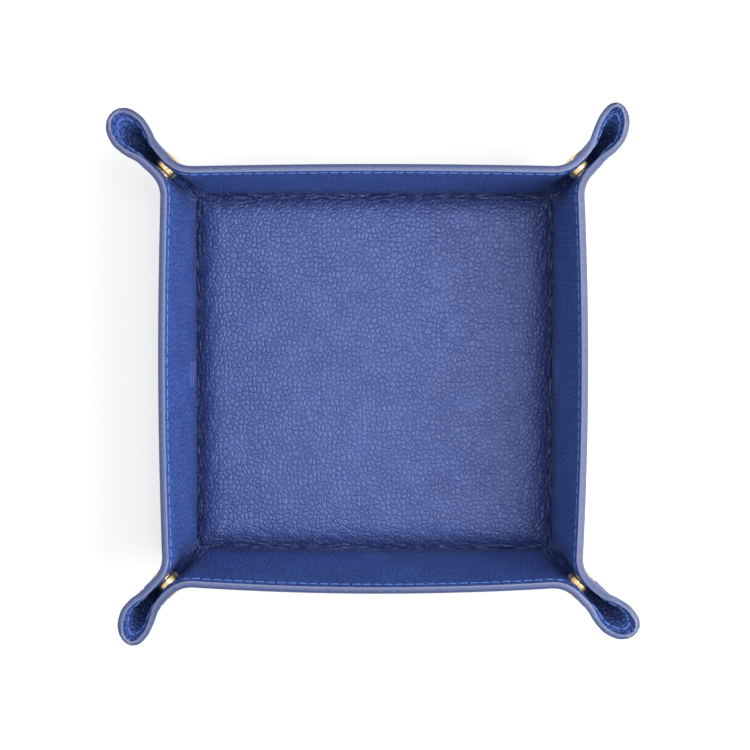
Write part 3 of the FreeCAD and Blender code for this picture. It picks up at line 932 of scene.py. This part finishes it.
@dataclass
class Finishes:
    """Every material of the tray."""

    leather: bpy.types.Material
    lining: bpy.types.Material
    floor: bpy.types.Material
    edge: bpy.types.Material
    thread: bpy.types.Material
    brass: bpy.types.Material
    steel: bpy.types.Material
    board: bpy.types.Material

    @classmethod
    def make(cls) -> "Finishes":
        """Makes the materials from their colours."""
        # Painted shade colour for deep inside the ears and along their creases.
        painted_shade = linear(18, 25, 54)
        # The third colour of each leather lightens ridges: part wear, part painted highlight.
        outside = (linear(49, 75, 144), linear(27, 40, 90), linear(100, 116, 172), painted_shade)
        inside = (linear(29, 44, 98), linear(112, 126, 184), painted_shade)
        # The floor takes the full painted shade towards its edges.
        padded = {"pebble": 1.75, "grain_depth": 0.28, "fold_shade_share": 1.0, "roughness": 0.34}
        # The third metal colour is a painted dark reflection on rounded edges.
        golden = (linear(240, 212, 160), linear(206, 160, 100), linear(88, 56, 30))
        silver = (linear(196, 198, 202), linear(160, 162, 168), linear(90, 90, 94))
        looks = (
            PebbledLeather("outer_leather", *outside),
            # The walls' lining and the floor are one leather; their base colours were each set to how
            # brightly that part is lit, so the difference between them is painted light and shade.
            PebbledLeather("lining_leather", linear(55, 90, 174), *inside),
            PebbledLeather("floor_leather", linear(52, 76, 142), *inside, **padded),
            EdgePaint("edge_paint", linear(86, 96, 134), linear(60, 72, 116), linear(140, 147, 178)),
            Thread("blue_thread", linear(92, 132, 208), linear(56, 88, 168)),
            PolishedMetal("snap_brass", *golden, roughness=0.1),
            PolishedMetal("spring_steel", *silver, roughness=0.24),
            PressedBoard("fibreboard", linear(170, 150, 122), linear(132, 112, 88)),
        )
        return cls(*(look.material() for look in looks))


@dataclass(frozen=True)
class Relief:
    """Small folds of the sheet and the painted shade in and round them, in millimetres on the flat sheet."""

    wrinkle_width: float = 1.4
    crush_width: float = 2.6
    crush_foot: Ramp = (-0.8, 2.0)
    crush_top: Ramp = (12.0, 12.0)
    crush_along: Ramp = (10.0, 12.0)
    crease_grain: float = 90.0
    crumple_height: float = 0.46
    fine_waves: tuple[float, float] = (2.4, 0.5)
    broad_waves: Triple = (1.1, 0.9, 1.3)
    broad_share: float = 0.5
    pleat_height: float = 0.55
    pleat_pitch: float = 1.25
    pleat_inset: float = 1.6
    pleat_width: float = 1.0
    pleat_along: Ramp = (38.5, 4.0)
    pleat_wander: Triple = (0.35, 1.3, 0.7)
    pleat_least: float = 0.05
    # Where painted shade falls deep inside an ear and along its crease.
    painted_shade_along: Ramp = (16.0, 9.0)
    painted_shade_across: Ramp = (9.0, 8.0)
    painted_shade_inset: Ramp = (2.5, 6.0)
    crease_gloom: float = 0.8
    crease_gloom_width: float = 2.0
    crease_gloom_up: Ramp = (7.0, 10.0)
    crease_gloom_inset: Ramp = (3.0, 4.0)
    lip: float = 0.75
    lip_height: float = 33.7
    lip_width: float = 1.3
    pared: float = 0.45
    pared_width: float = 2.4
    pared_along: Ramp = (35.0, 6.0)

    def crushed(self, half: FoldedHalf, x: Array, s: Array) -> Array:
        """How strongly the sheet is crushed where it is drawn into the floor's corner, from 0 to 1."""
        a, _ = along_ear(x, s)
        before = np.maximum(half.crease_x(s) - x, 0.0)
        low = rise(s, *self.crush_foot) * (1 - rise(s, *self.crush_top))
        return hump(before, 0.0, self.crush_width) * low * (1 - rise(a, *self.crush_along))

    def crumple(self, half: FoldedHalf, x: Array, s: Array) -> Array:
        """Height of the crumpled folds where the sheet is drawn into the corner."""
        distance = x - half.crease_x(s)
        across, up = self.fine_waves
        fine = ruffle(across * distance, up * s, seed=1.3)
        across, along, up = self.broad_waves
        broad = ruffle(across * distance + along * s, up * s, seed=3.1)
        return self.crumple_height * self.crushed(half, x, s) * (fine + self.broad_share * broad)

    def pleats(self, half: FoldedHalf, x: Array, s: Array) -> tuple[Array, Array]:
        """Small pleats round the inside of a loop's rim.

        Args:
            half: The folded shape.
            x: Flat places along the wall.
            s: Flat places up the wall.

        Returns:
            How strongly the rim is pleated, and how deep into a pleat each place lies, from 0 to 1.
        """
        a, b = along_ear(x, s)
        inset = half.pattern.below_rim(x, s)
        near = hump(inset, self.pleat_inset, self.pleat_width) * rise(a, *self.pleat_along)
        reach, rate, start = self.pleat_wander
        wander = reach * np.sin(rate * b + start)
        return near, 0.5 + 0.5 * np.cos(2 * math.pi * (b + wander) / self.pleat_pitch)

    def painted_shade(self, half: FoldedHalf, x: Array, s: Array) -> Array:
        """How much painted shade falls deep inside an ear and along its crease, from 0 to 1."""
        a, b = along_ear(x, s)
        inset = half.pattern.below_rim(x, s)
        inside = rise(a, *self.painted_shade_along) * (1 - rise(b, *self.painted_shade_across))
        inside = inside * rise(inset, *self.painted_shade_inset)
        crease = hump(x, half.crease_x(s), self.crease_gloom_width) * rise(s, *self.crease_gloom_up)
        return np.maximum(inside, self.crease_gloom * crease * rise(inset, *self.crease_gloom_inset))

    def lift(self, half: FoldedHalf, x: Array, s: Array) -> Array:
        """How far the lining bulges in just above the snap, less what is pared along an ear's rim."""
        a, _ = along_ear(x, s)
        over = hump(x, half.loop.spread_place, half.loop.spread_width)
        bulge = over * hump(s, self.lip_height, self.lip_width)
        thinned = hump(half.pattern.below_rim(x, s), 0.0, self.pared_width) * rise(a, *self.pared_along)
        return self.lip * bulge - self.pared * thinned

    def fold_note(self, half: FoldedHalf, x: Array, inner_x: Array, s: Array, pleat: Array) -> Array:
        """Notes for the grain: place along a fold, distance from it, and how strongly it wrinkles there.

        Args:
            half: The folded shape.
            x: Flat places along the wall.
            inner_x: The same, on the wall's right half.
            s: Flat places up the wall.
            pleat: Ridges above 0 and grooves below 0, round the ears' rims.

        Returns:
            The three notes of each place.
        """
        wrinkled = hump(s, -half.pattern.fold_offset, self.wrinkle_width)
        by_crease = self.crushed(half, inner_x, s)
        along_fold = np.stack([x, s, wrinkled], -1)
        along_crease = np.stack([s + self.crease_grain, inner_x - half.crease_x(s), by_crease], -1)
        note = np.where((by_crease > wrinkled)[..., None], along_crease, along_fold)
        note[..., 2] = np.where(np.abs(pleat) > self.pleat_least, pleat, note[..., 2])
        return note


@dataclass(frozen=True)
class WallShape:
    """How one wall bows, and how the ear at its right end swings, opens and reaches, as photographed."""

    bow: float
    swing: float
    fullness: float
    reach: float


WALL_SHAPES = {
    "back": WallShape(bow=0.9, swing=5.6, fullness=0.95, reach=0.0),
    "left": WallShape(bow=1.4, swing=-1.0, fullness=1.14, reach=1.1),
    "front": WallShape(bow=2.5, swing=4.6, fullness=1.02, reach=-0.6),
    "right": WallShape(bow=1.9, swing=1.7, fullness=1.03, reach=0.7),
}


@dataclass
class LeatherSheet:
    """The folded sheet: four walls, eight creased ear sides and eight half loops, with their stitches."""

    finishes: Finishes
    pattern: Pattern = field(default_factory=Pattern)
    loop: LoopShape = field(default_factory=LoopShape)
    relief: Relief = field(default_factory=Relief)
    sharp: float = 50.0
    crease_start: float = 6.0
    crease_middle: float = 18.0
    fold_blend: float = 2.5
    crease_blend: float = 3.5
    loop_blend_start: float = 12.0
    loop_blend_end: float = 48.0
    loop_blend_least: float = 1.0
    loop_blend_points: int = 40
    tongue: float = 1.8
    tongue_columns: int = 3
    tongue_ramp: Ramp = (0.0, 3.0)
    tuck: float = 0.12
    slip_margin: float = 0.05
    strip_end: float = -3.4
    corner_end: float = -1.6
    fold_top: float = 3.0
    wall_rows: int = 22
    wall_columns: int = 121
    crease_columns: int = 30
    loop_columns: int = 76
    loop_rows: int = 46
    loop_bunching: float = 1.25
    ear_search: float = 80.0
    seam_search: Range = (-60.0, 1.0)
    rim_rows: tuple[float, ...] = (0.8, 1.3, 1.8, 2.2, 2.6, 3.0, 3.4, 3.9, 4.5)
    rim_steps: int = 5
    rim_power: float = 0.6
    stitches_per_half: int = 26
    stitch_length: float = 3.4
    stitch_steps: tuple[float, ...] = (-1.0, -0.93, -0.75, -0.4, 0.0, 0.4, 0.75, 0.93, 1.0)
    stitch_sides: int = 8
    stitch_sharp: float = 60.0
    thread_radius: float = 0.27
    thread_rise: float = 0.65
    thread_dip: float = 1.9
    thread_dip_power: int = 8
    thread_taper: float = 0.5
    thread_taper_power: int = 6
    thread_press: float = 0.85

    def half(self, placing: Placing) -> FoldedHalf:
        """The folded shape at one end of one wall."""
        at_right = placing.end is End.RIGHT
        ear = WALL_SHAPES[placing.wall.word if at_right else placing.neighbour]
        swing = ear.swing if at_right else -ear.swing
        bow = WALL_SHAPES[placing.wall.word].bow
        return FoldedHalf(self.pattern, self.loop, bow, swing, ear.fullness, ear.reach)

    def rim_insets(self) -> Array:
        """Distances from the cut edge of the first rows of points."""
        return np.array([0.0, self.pattern.edge_round, *self.rim_rows])

    def wall_heights(self) -> Array:
        """Heights of the rows of points on a wall, from rim to floor."""
        top = self.pattern.wall_height - self.rim_insets()
        body = np.linspace(top[-1], self.fold_top, self.wall_rows)[1:]
        fold = np.linspace(self.fold_top, self.strip_end, self.wall_rows)[1:]
        return np.concatenate([top, body, fold])

    def add_shell(self, parts: MeshParts, half: FoldedHalf, placing: Placing, x: Array, s: Array) -> None:
        """Adds both faces, the rounded rim and the cut ends of a piece of the sheet.

        Args:
            parts: The mesh that grows.
            half: The folded shape.
            placing: Where it goes.
            x: Flat places along the wall, rows from the rim down and columns from wall to ear.
            s: Flat places up the wall, in the same layout.
        """
        p, relief = self.pattern, self.relief
        mirror = np.where(x + p.floor_half < 0, -1.0, 1.0)
        inner_x = np.abs(x + p.floor_half) - p.floor_half
        middle, normal = half.frame(inner_x, s)
        middle[..., 0] *= mirror
        normal[..., 0] *= mirror
        depth = p.thickness_at(p.below_rim(inner_x, s), s)
        slipped = s - inner_x < -self.slip_margin
        depth = np.where(slipped, depth - self.tuck, depth)
        crumple = np.where(slipped, 0.0, relief.crumple(half, inner_x, s))
        pleated, groove = relief.pleats(half, inner_x, s)
        groove = np.where(slipped, 1.0, groove)
        top = depth + crumple - relief.pleat_height * pleated * groove
        top = (top + relief.lift(half, inner_x, s))[..., None]
        low = (depth - crumple)[..., None]
        fold_note = relief.fold_note(half, x, inner_x, s, pleated * (1 - 2 * groove))
        # The third note is how much painted shade falls there.
        flat_note = np.stack([x + p.floor_half, s + p.floor_half, relief.painted_shade(half, inner_x, s)], -1)
        flat_note = placing.points(flat_note)
        grids = {}
        for face in Face:
            shell = middle + normal * (top if face is Face.LINING else -low)
            note = flat_note if face is Face.LINING else flat_note + OUTER_GRAIN
            grids[face] = parts.add_points(placing.points(shell[1:]), note[1:], fold_note[1:])
            parts.add_grid(grids[face], Coat[face.name], turned=face is Face.OUTER)
        lining, outer = grids[Face.LINING], grids[Face.OUTER]
        outward = unit(middle[0] - middle[1])
        rings = [lining[0]]
        for turn in np.linspace(math.pi / 2, -math.pi / 2, self.rim_steps + 2)[1:-1]:
            out = p.edge_round * (abs(math.cos(turn)) ** self.rim_power - 1)
            share = math.copysign(abs(math.sin(turn)) ** self.rim_power, turn)
            side = 0.5 * (top[1] - low[1]) + 0.5 * share * (top[1] + low[1])
            ring = middle[0] + outward * out + normal[0] * side
            note = fold_note[0].copy()
            note[..., 1] = share * p.half_thickness
            rings.append(parts.add_points(placing.points(ring), flat_note[0], note))
        rings.append(outer[0])
        parts.add_grid(np.stack(rings), Coat.EDGE, turned=True)
        parts.add_grid(np.stack([lining[-1], outer[-1]]), Coat.OUTER)
        for column, turned in ((0, False), (-1, True)):
            parts.add_grid(np.stack([lining[:, column], outer[:, column]]), Coat.OUTER, turned=not turned)
            cap = np.array([[ring[column] for ring in rings]])
            parts.add_faces(cap if turned else cap[:, ::-1], Coat.EDGE)

    def shell(self, name: str, half: FoldedHalf, placing: Placing, x: Array, s: Array) -> Piece:
        """Makes a piece of the sheet from its flat places."""
        parts = MeshParts()
        self.add_shell(parts, half, placing, x, s)
        f = self.finishes
        return parts.build(name, [f.lining, f.leather, f.edge], placing.flips, self.sharp)

    def dress(self, nodes: list[str]) -> None:
        """Hides the frame nodes that a piece of the sheet stands for."""
        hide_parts(*nodes)

    def build_wall(self, wall: Wall) -> Piece:
        """Builds one wall, from its strip under the floor to its rim."""
        placing = Placing(wall, End.RIGHT)
        half = self.half(placing)
        p = self.pattern
        s = self.wall_heights()[:, None]
        end = p.floor_half + half.crease_x(s) - self.crease_start * p.crease_stretch
        across = np.linspace(-1.0, 1.0, self.wall_columns)[None, :] * end
        s = np.broadcast_to(s, across.shape).copy()
        piece = self.shell(f"{wall.word}_wall_leather", half, placing, across - p.floor_half, s)
        axis = np.array([0.0, p.fold_line, p.half_thickness])
        way = unit(np.array([0.0, 1.0, 0.0]) + p.wall_up)
        reach = self.fold_blend * math.cos((math.pi / 2 - p.lean) / 2)
        start, finish = (placing.points(axis + way * k * reach) * MM for k in (-1, 1))
        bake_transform(piece)
        self.dress([f"{wall.word}_wall_outer", f"{wall.word}_wall_lining"])
        return piece

    def crease_span(self, half: FoldedHalf, placing: Placing) -> tuple[tuple[float, ...], tuple[float, ...]]:
        """Start and end of the bend across an ear's crease, in metres."""
        p = self.pattern
        s = np.array([self.crease_middle])
        x = half.crease_x(s)
        normal = p.crease_normal
        foot = half.wall(x, s)[0]
        to_wall = foot - half.wall(x - normal[0], s - normal[1])[0]
        to_ear = half.ear(x + normal[0], s + normal[1])[0] - half.ear(x, s)[0]
        way = unit(to_wall + to_ear) * self.crease_blend * math.cos(p.side_turn / 2)
        start, finish = (placing.points(foot + way * k) * MM for k in (-1, 1))
        return tuple(start), tuple(finish)

    def loop_span(self, half: FoldedHalf, placing: Placing) -> tuple[tuple[float, ...], tuple[float, ...]]:
        """Start and end of the bend from an ear's side into its loop, in metres.

        The bend runs along the slope that fits best between the seam, all of which stays with the
        side, and the nose on the diagonal, all of which turns with the half loop.

        Args:
            half: The folded shape.
            placing: Where it goes.

        Returns:
            Both ends of the bend.
        """
        a = np.linspace(self.loop_blend_start, self.loop_blend_end, self.loop_blend_points)
        seam = half.middle(*off_ear(a, half.seam_b(a)))
        nose = half.middle(*off_ear(a, 0.0))
        points = np.concatenate([seam, nose])
        table = np.concatenate([points, np.ones((len(points), 1))], axis=1)
        goals = np.repeat([0.0, 1.0], len(a))
        way = unit(np.linalg.lstsq(table, goals, rcond=None)[0][:3])
        centre = points.mean(axis=0)
        first = float(((seam - centre) @ way).max())
        last = max(float(((nose - centre) @ way).min()), first + self.loop_blend_least)
        start, finish = (placing.points(centre + way * level) * MM for level in (first, last))
        return tuple(start), tuple(finish)

    def seam_x(self, half: FoldedHalf, s: Array) -> Array:
        """Where an ear's side hands over to its loop, at heights s."""

        def past(x: Array) -> Array:
            """How far x lies past the seam."""
            return x - s + ROOT2 * half.seam_b((s + x) / ROOT2)

        low, high = self.seam_search
        return solve_rising(past, s + low, s + high)

    def build_crease(self, placing: Placing) -> Piece:
        """Builds the creased end of a wall and the flat of the ear's side."""
        half = self.half(placing)
        s = self.wall_heights()
        start = half.crease_x(s) - self.crease_start * self.pattern.crease_stretch
        finish = self.seam_x(half, s)
        share = np.linspace(0.0, 1.0, self.crease_columns)[None, :]
        x = start[:, None] + (finish - start)[:, None] * share
        s = np.broadcast_to(s[:, None], x.shape).copy()
        piece = self.shell(f"{placing.side}_side_leather", half, placing, x, s)
        begin, end = self.crease_span(half, placing)
        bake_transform(piece)
        self.dress([f"{placing.side}_side_outer", f"{placing.side}_side_lining"])
        return piece

    def build_loop(self, placing: Placing) -> Piece:
        """Builds one half of an ear's loop, from the flat of its side to the diagonal."""
        half = self.half(placing)
        tongue = self.tongue * np.arange(1, self.tongue_columns + 1) / self.tongue_columns
        past = np.append(np.zeros(self.loop_columns), tongue)
        share = np.append(np.linspace(1.0, 0.0, self.loop_columns) ** self.loop_bunching, 0.0 * tongue)
        tuck = self.tuck * (past > 0)

        def place(a: Array) -> tuple[Array, Array]:
            """Flat places of points a along the columns, the last of which slip under the other half."""
            return off_ear(a, share * half.seam_b(a) - past * rise(a, *self.tongue_ramp))

        def row(inset: float) -> Array:
            """Places along the ear that lie this far from the cut edge."""
            low, high = np.zeros_like(share), np.full_like(share, self.ear_search)
            return solve_rising(lambda a: inset + tuck - self.pattern.below_rim(*place(a)), low, high)

        rows = np.stack([row(inset) for inset in self.rim_insets()])
        down = np.linspace(0.0, 1.0, self.loop_rows)[1:, None]
        x, s = place(np.concatenate([rows, rows[-1] + (self.corner_end - rows[-1]) * down]))
        piece = self.shell(f"{placing.side}_loop_leather", half, placing, x, s)
        begin, end = self.loop_span(half, placing)
        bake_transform(piece)
        self.dress([f"{placing.side}_loop"])
        return piece

    def stitch_place(self, run: Array) -> tuple[Array, Array]:
        """Flat place of the stitch line at distances from the middle of a wall."""
        p = self.pattern
        radius = p.corner_radius - p.stitch_inset
        on_arc = np.clip((run - p.floor_half - p.corner_centre) / radius, 0.0, None)
        x = np.minimum(run - p.floor_half, p.corner_centre) + radius * np.sin(on_arc)
        return x, p.corner_centre + radius * np.cos(on_arc)

    def add_stitch(
        self, parts: MeshParts, half: FoldedHalf, placing: Placing, centre: float, face: Face
    ) -> None:
        """Adds one stitch, sunk into its holes at both ends.

        Args:
            parts: The mesh that grows.
            half: The folded shape.
            placing: Where it goes.
            centre: Distance of the stitch from the middle of the wall.
            face: The face of the sheet that it lies on.
        """
        p = self.pattern
        along = np.array(self.stitch_steps)
        run = centre + along * self.stitch_length / 2
        x, s = self.stitch_place(run)
        middle, normal = half.frame(x, s)
        aside = np.cross(normal, unit(np.gradient(middle, axis=0)))
        out = normal * face.value
        depth = p.thickness_at(np.full_like(x, p.stitch_inset), s)
        sunk = self.thread_dip * np.abs(along) ** self.thread_dip_power
        line = middle + out * (depth + self.thread_radius * (self.thread_rise - sunk))[:, None]
        radius = self.thread_radius * (1 - self.thread_taper * np.abs(along) ** self.thread_taper_power)
        turns = np.linspace(0.0, 2 * math.pi, self.stitch_sides, endpoint=False)
        upward = out[:, None] * np.cos(turns)[None, :, None] * self.thread_press
        sideways = aside[:, None] * np.sin(turns)[None, :, None]
        ring = line[:, None] + (upward + sideways) * radius[:, None, None]
        note = np.stack(np.broadcast_arrays(run[:, None], turns[None, :] * radius[:, None], 0.0), -1)
        numbers = parts.add_points(placing.points(ring), note, np.zeros_like(note))
        lining = face is Face.LINING
        parts.add_grid(np.concatenate([numbers, numbers[:, :1]], axis=1), turned=lining)
        parts.add_faces(numbers[:1] if lining else numbers[:1, ::-1])
        parts.add_faces(numbers[-1:, ::-1] if lining else numbers[-1:])

    def build_stitches(self) -> list[Piece]:
        """Builds the stitches of every piece of the sheet, on both faces."""
        p = self.pattern
        total = p.floor_half + p.corner_centre + (p.corner_radius - p.stitch_inset) * math.pi / 4
        centres = (np.arange(self.stitches_per_half) + 0.5) * total / self.stitches_per_half
        height = np.array([p.wall_height - p.stitch_inset])
        thread = [self.finishes.thread]
        pieces = []
        for wall in Wall:
            for end in End:
                placing = Placing(wall, end)
                half = self.half(placing)
                start = float(half.crease_x(height)[0]) - self.crease_start * p.crease_stretch
                first = start + p.floor_half
                second = float(self.seam_x(half, height)[0]) + p.floor_half
                groups = {group: MeshParts() for group in ("wall", "side", "loop")}
                for centre in centres:
                    group = "wall" if centre < first else "side" if centre < second else "loop"
                    for face in Face:
                        self.add_stitch(groups[group], half, placing, float(centre), face)
                spans = {"side": self.crease_span(half, placing), "loop": self.loop_span(half, placing)}
                for group in ("side", "loop"):
                    name = f"{placing.side}_{group}_stitches"
                    piece = groups[group].build(name, thread, placing.flips, self.stitch_sharp)
                    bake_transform(piece)
                    pieces.append(piece)
                name = f"{wall.word}_wall_stitches_{end.name.lower()}"
                piece = groups["wall"].build(name, thread, placing.flips, self.stitch_sharp)
                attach(piece, f"{wall.word}_wall")
                pieces.append(piece)
        return pieces

    def build(self) -> list[Piece]:
        """Builds the whole sheet and its stitches."""
        pieces = [self.build_wall(wall) for wall in Wall]
        for wall in Wall:
            for end in End:
                placing = Placing(wall, end)
                pieces += [self.build_crease(placing), self.build_loop(placing)]
        return pieces + self.build_stitches()


@dataclass
class PaddedFloor:
    """The floor: lining drawn over a pad and board, on the outer leather. Sizes are in millimetres."""

    finishes: Finishes
    half_side: float = 62.9
    edge_height: float = 2.2
    top_height: float = 5.75
    crown: float = 0.35
    roll_width: float = 11.0
    roll_power: float = 2.4
    corner_power: float = 60.0
    under_half_side: float = 61.6
    under_height: float = 0.02
    pucker_height: float = 0.16
    pucker_rate: float = 0.9
    pucker_place: float = 0.45
    pucker_width: float = 0.35
    corner_pucker: float = 0.3
    corner_reach: float = 15.0
    corner_ramp: Ramp = (0.0, 0.25)
    corner_waves: Triple = (1.5, 0.2, 0.3)
    seam_crease: float = 1.3
    wide_crease: float = 8.0
    wide_crease_share: float = 0.24
    columns: int = 211
    bunching: float = 1.2
    sharp: float = 50.0

    def height(self, x: Array, y: Array) -> Array:
        """Height of the lining over the pad."""
        reach = (np.abs(x) ** self.corner_power + np.abs(y) ** self.corner_power) ** (1 / self.corner_power)
        inset = np.clip((self.half_side - reach) / self.roll_width, 0.0, 1.0)
        roll = 1 - (1 - inset) ** self.roll_power
        crown = (1 - (x / self.half_side) ** 2) * (1 - (y / self.half_side) ** 2)
        waves = ruffle(self.pucker_rate * x, self.pucker_rate * y, seed=0.4)
        pucker = waves * self.pucker_height * hump(inset, self.pucker_place, self.pucker_width)
        along, across = (np.abs(x) + np.abs(y)) / ROOT2, (np.abs(x) - np.abs(y)) / ROOT2
        far = np.hypot(self.half_side - np.abs(x), self.half_side - np.abs(y))
        creased = hump(far, 0.0, self.corner_reach) * rise(inset, *self.corner_ramp)
        rate, lean, length = self.corner_waves
        waves = ruffle(rate * across + lean * along, length * along, seed=2.2)
        pucker = pucker + self.corner_pucker * creased * waves
        return self.edge_height + (self.top_height - self.edge_height) * roll + self.crown * crown + pucker

    def build(self) -> list[Piece]:
        """Builds the floor as one closed, crowned piece."""
        parts = MeshParts()
        share = np.sin(np.linspace(-1.0, 1.0, self.columns) * self.bunching) / math.sin(self.bunching)
        line = share * self.half_side
        x, y = np.meshgrid(line, line[::-1])
        top = np.stack([x, y, self.height(x, y)], -1)
        inset = self.half_side - np.maximum(np.abs(x), np.abs(y))
        # Crease strength along the floor's edge raises ridges and lightens them: part wear, part painted
        # highlight.
        creased = hump(inset, 0.0, self.seam_crease)
        creased = creased + self.wide_crease_share * hump(inset, 0.0, self.wide_crease)
        # The distance from the floor's edge sets the painted shade that darkens towards the fold.
        fold = np.stack([np.where(np.abs(x) > np.abs(y), y, x), inset, creased], -1)
        flat = np.stack([x, y, np.zeros_like(x)], -1)
        numbers = parts.add_points(top, flat, fold)
        parts.add_grid(numbers, Coat.LINING)
        edge = np.concatenate([numbers[0, :-1], numbers[:-1, -1], numbers[-1, :0:-1], numbers[:0:-1, 0]])
        under = top.reshape(-1, 3)[edge] * (self.under_half_side / self.half_side)
        under[:, 2] = self.under_height
        lower = parts.add_points(under, under + OUTER_GRAIN, np.zeros_like(under))
        ring = np.stack([np.append(edge, edge[0]), np.append(lower, lower[0])])
        parts.add_grid(ring, Coat.OUTER, turned=True)
        parts.add_faces(lower[None, :], Coat.OUTER)
        finishes = [self.finishes.floor, self.finishes.leather]
        piece = parts.build("padded_floor", finishes, False, self.sharp)
        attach(piece, "base")
        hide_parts("outer_base", "floor_lining", "base_pad")
        return [piece]


@dataclass
class Hardware:
    """Snaps and board: frame nodes that stay and get their own materials."""

    finishes: Finishes

    def build(self) -> list[Piece]:
        """Gives each metal and board node its finish."""
        pieces = []
        for name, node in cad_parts.items():
            if "_snap_" in name:
                finish = self.finishes.steel if name.endswith("_spring") else self.finishes.brass
            elif name == "base_board":
                finish = self.finishes.board
            else:
                continue
            for slot in node.material_slots:
                slot.material = finish
            pieces.append(node)
        return pieces


@dataclass(frozen=True)
class Lamp:
    """A square lamp that faces the tray, in metres and watts."""

    name: str
    place: Triple
    size: float
    energy: float

    def build(self) -> None:
        """Adds the lamp."""
        data = bpy.data.lights.new(self.name, "AREA")
        data.size = self.size
        data.energy = self.energy
        lamp = bpy.data.objects.new(self.name, data)
        lamp.location = self.place
        lamp.rotation_euler = (-Vector(self.place)).to_track_quat("-Z", "Y").to_euler()
        bpy.context.scene.collection.objects.link(lamp)


@dataclass
class Studio:
    """White floor, soft lamps and the camera above the tray. Lengths are in metres."""

    lamps: tuple[Lamp, ...] = (
        Lamp("key_right", (0.69, -0.1, 0.58), size=0.8, energy=11.6),
        Lamp("overhead", (0.09, 0.22, 1.1), size=0.45, energy=3.2),
        Lamp("fill_left", (-0.75, 0.0, 0.42), size=0.5, energy=1.3),
    )
    eye: Triple = (0.019, 0.0486, 0.9)
    target: Triple = (0.0002, -0.0012, 0.0)
    lens: float = 121.7
    sensor: float = 36.0
    floor_half: float = 4.0
    floor_drop: float = 0.0001
    floor_colour: Colour = (0.5, 0.5, 0.5, 1.0)
    floor_glow: Level = (0.2, 0.9, 0.57, 1.0)
    ambient: float = 0.5
    sky_shine: Level = (0.1, 0.8, 0.1, 1.2)

    def floor(self) -> None:
        """Adds the white floor, which keeps the tray's shadow."""
        h = self.floor_half
        mesh = bpy.data.meshes.new("studio_floor")
        mesh.from_pydata([(-h, -h, 0.0), (h, -h, 0.0), (h, h, 0.0), (-h, h, 0.0)], [], [(0, 1, 2, 3)])
        n = NodeSheet(bpy.data.materials.new("studio_white"))
        paper = n.add("BsdfDiffuse", Color=self.floor_colour)
        place = n.add("TexCoord").outputs["Object"]
        far = n.add("VectorMath", {"operation": "LENGTH"}, i0=place).outputs["Value"]
        path = n.add("LightPath").outputs
        seen = n.math("MAXIMUM", path["Is Camera Ray"], path["Is Glossy Ray"])
        seen = n.math("MAXIMUM", seen, path["Is Transmission Ray"])
        glow = n.add("Emission", Color=WHITE, Strength=n.times(seen, n.ramp(far, *self.floor_glow)))
        mesh.materials.append(n.finish(n.add("AddShader", i0=paper.outputs[0], i1=glow.outputs[0])))
        ground = bpy.data.objects.new("studio_floor", mesh)
        ground.location = (0.0, 0.0, -self.floor_drop)
        bpy.context.scene.collection.objects.link(ground)

    def world(self) -> None:
        """Sets the even light all round, a bright sky for what shines, and white where the floor ends."""
        n = NodeSheet(bpy.data.worlds.new("studio_world"))
        path = n.add("LightPath").outputs
        height = n.split(n.add("TexCoord").outputs["Generated"])[2]
        sky = n.ramp(height, *self.sky_shine, even=True)
        sky = n.ramp(path["Is Glossy Ray"], 0.0, 1.0, self.ambient, sky, even=True)
        sky = n.ramp(path["Is Camera Ray"], 0.0, 1.0, sky, 1.0, even=True)
        bpy.context.scene.world = n.finish(n.add("Background", Color=WHITE, Strength=sky))

    def camera(self) -> None:
        """Sets the camera above the tray, as in the photograph."""
        data = bpy.data.cameras.new("camera")
        data.lens = self.lens
        data.sensor_width = self.sensor
        camera = bpy.data.objects.new("camera", data)
        camera.location = self.eye
        back = (Vector(self.eye) - Vector(self.target)).normalized()
        right = Vector((0.0, 1.0, 0.0)).cross(back).normalized()
        camera.rotation_euler = Matrix((right, back.cross(right), back)).transposed().to_euler()
        bpy.context.scene.collection.objects.link(camera)
        bpy.context.scene.camera = camera

    def build(self) -> None:
        """Sets up floor, light and camera."""
        self.camera()
        self.floor()
        self.world()
        for lamp in self.lamps:
            lamp.build()
        bpy.context.scene.view_settings.view_transform = "Standard"


def main() -> None:
    """Builds the tray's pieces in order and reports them."""
    logging.basicConfig(level=logging.INFO, format="%(name)s: %(message)s")
    Studio().build()
    finishes = Finishes.make()
    for assembly in (Hardware(finishes), PaddedFloor(finishes), LeatherSheet(finishes)):
        for piece in assembly.build():
            LOG.info("%s: %s, %d points", type(assembly).__name__, piece.name, len(piece.data.vertices))


if __name__ == "__main__":
    main()
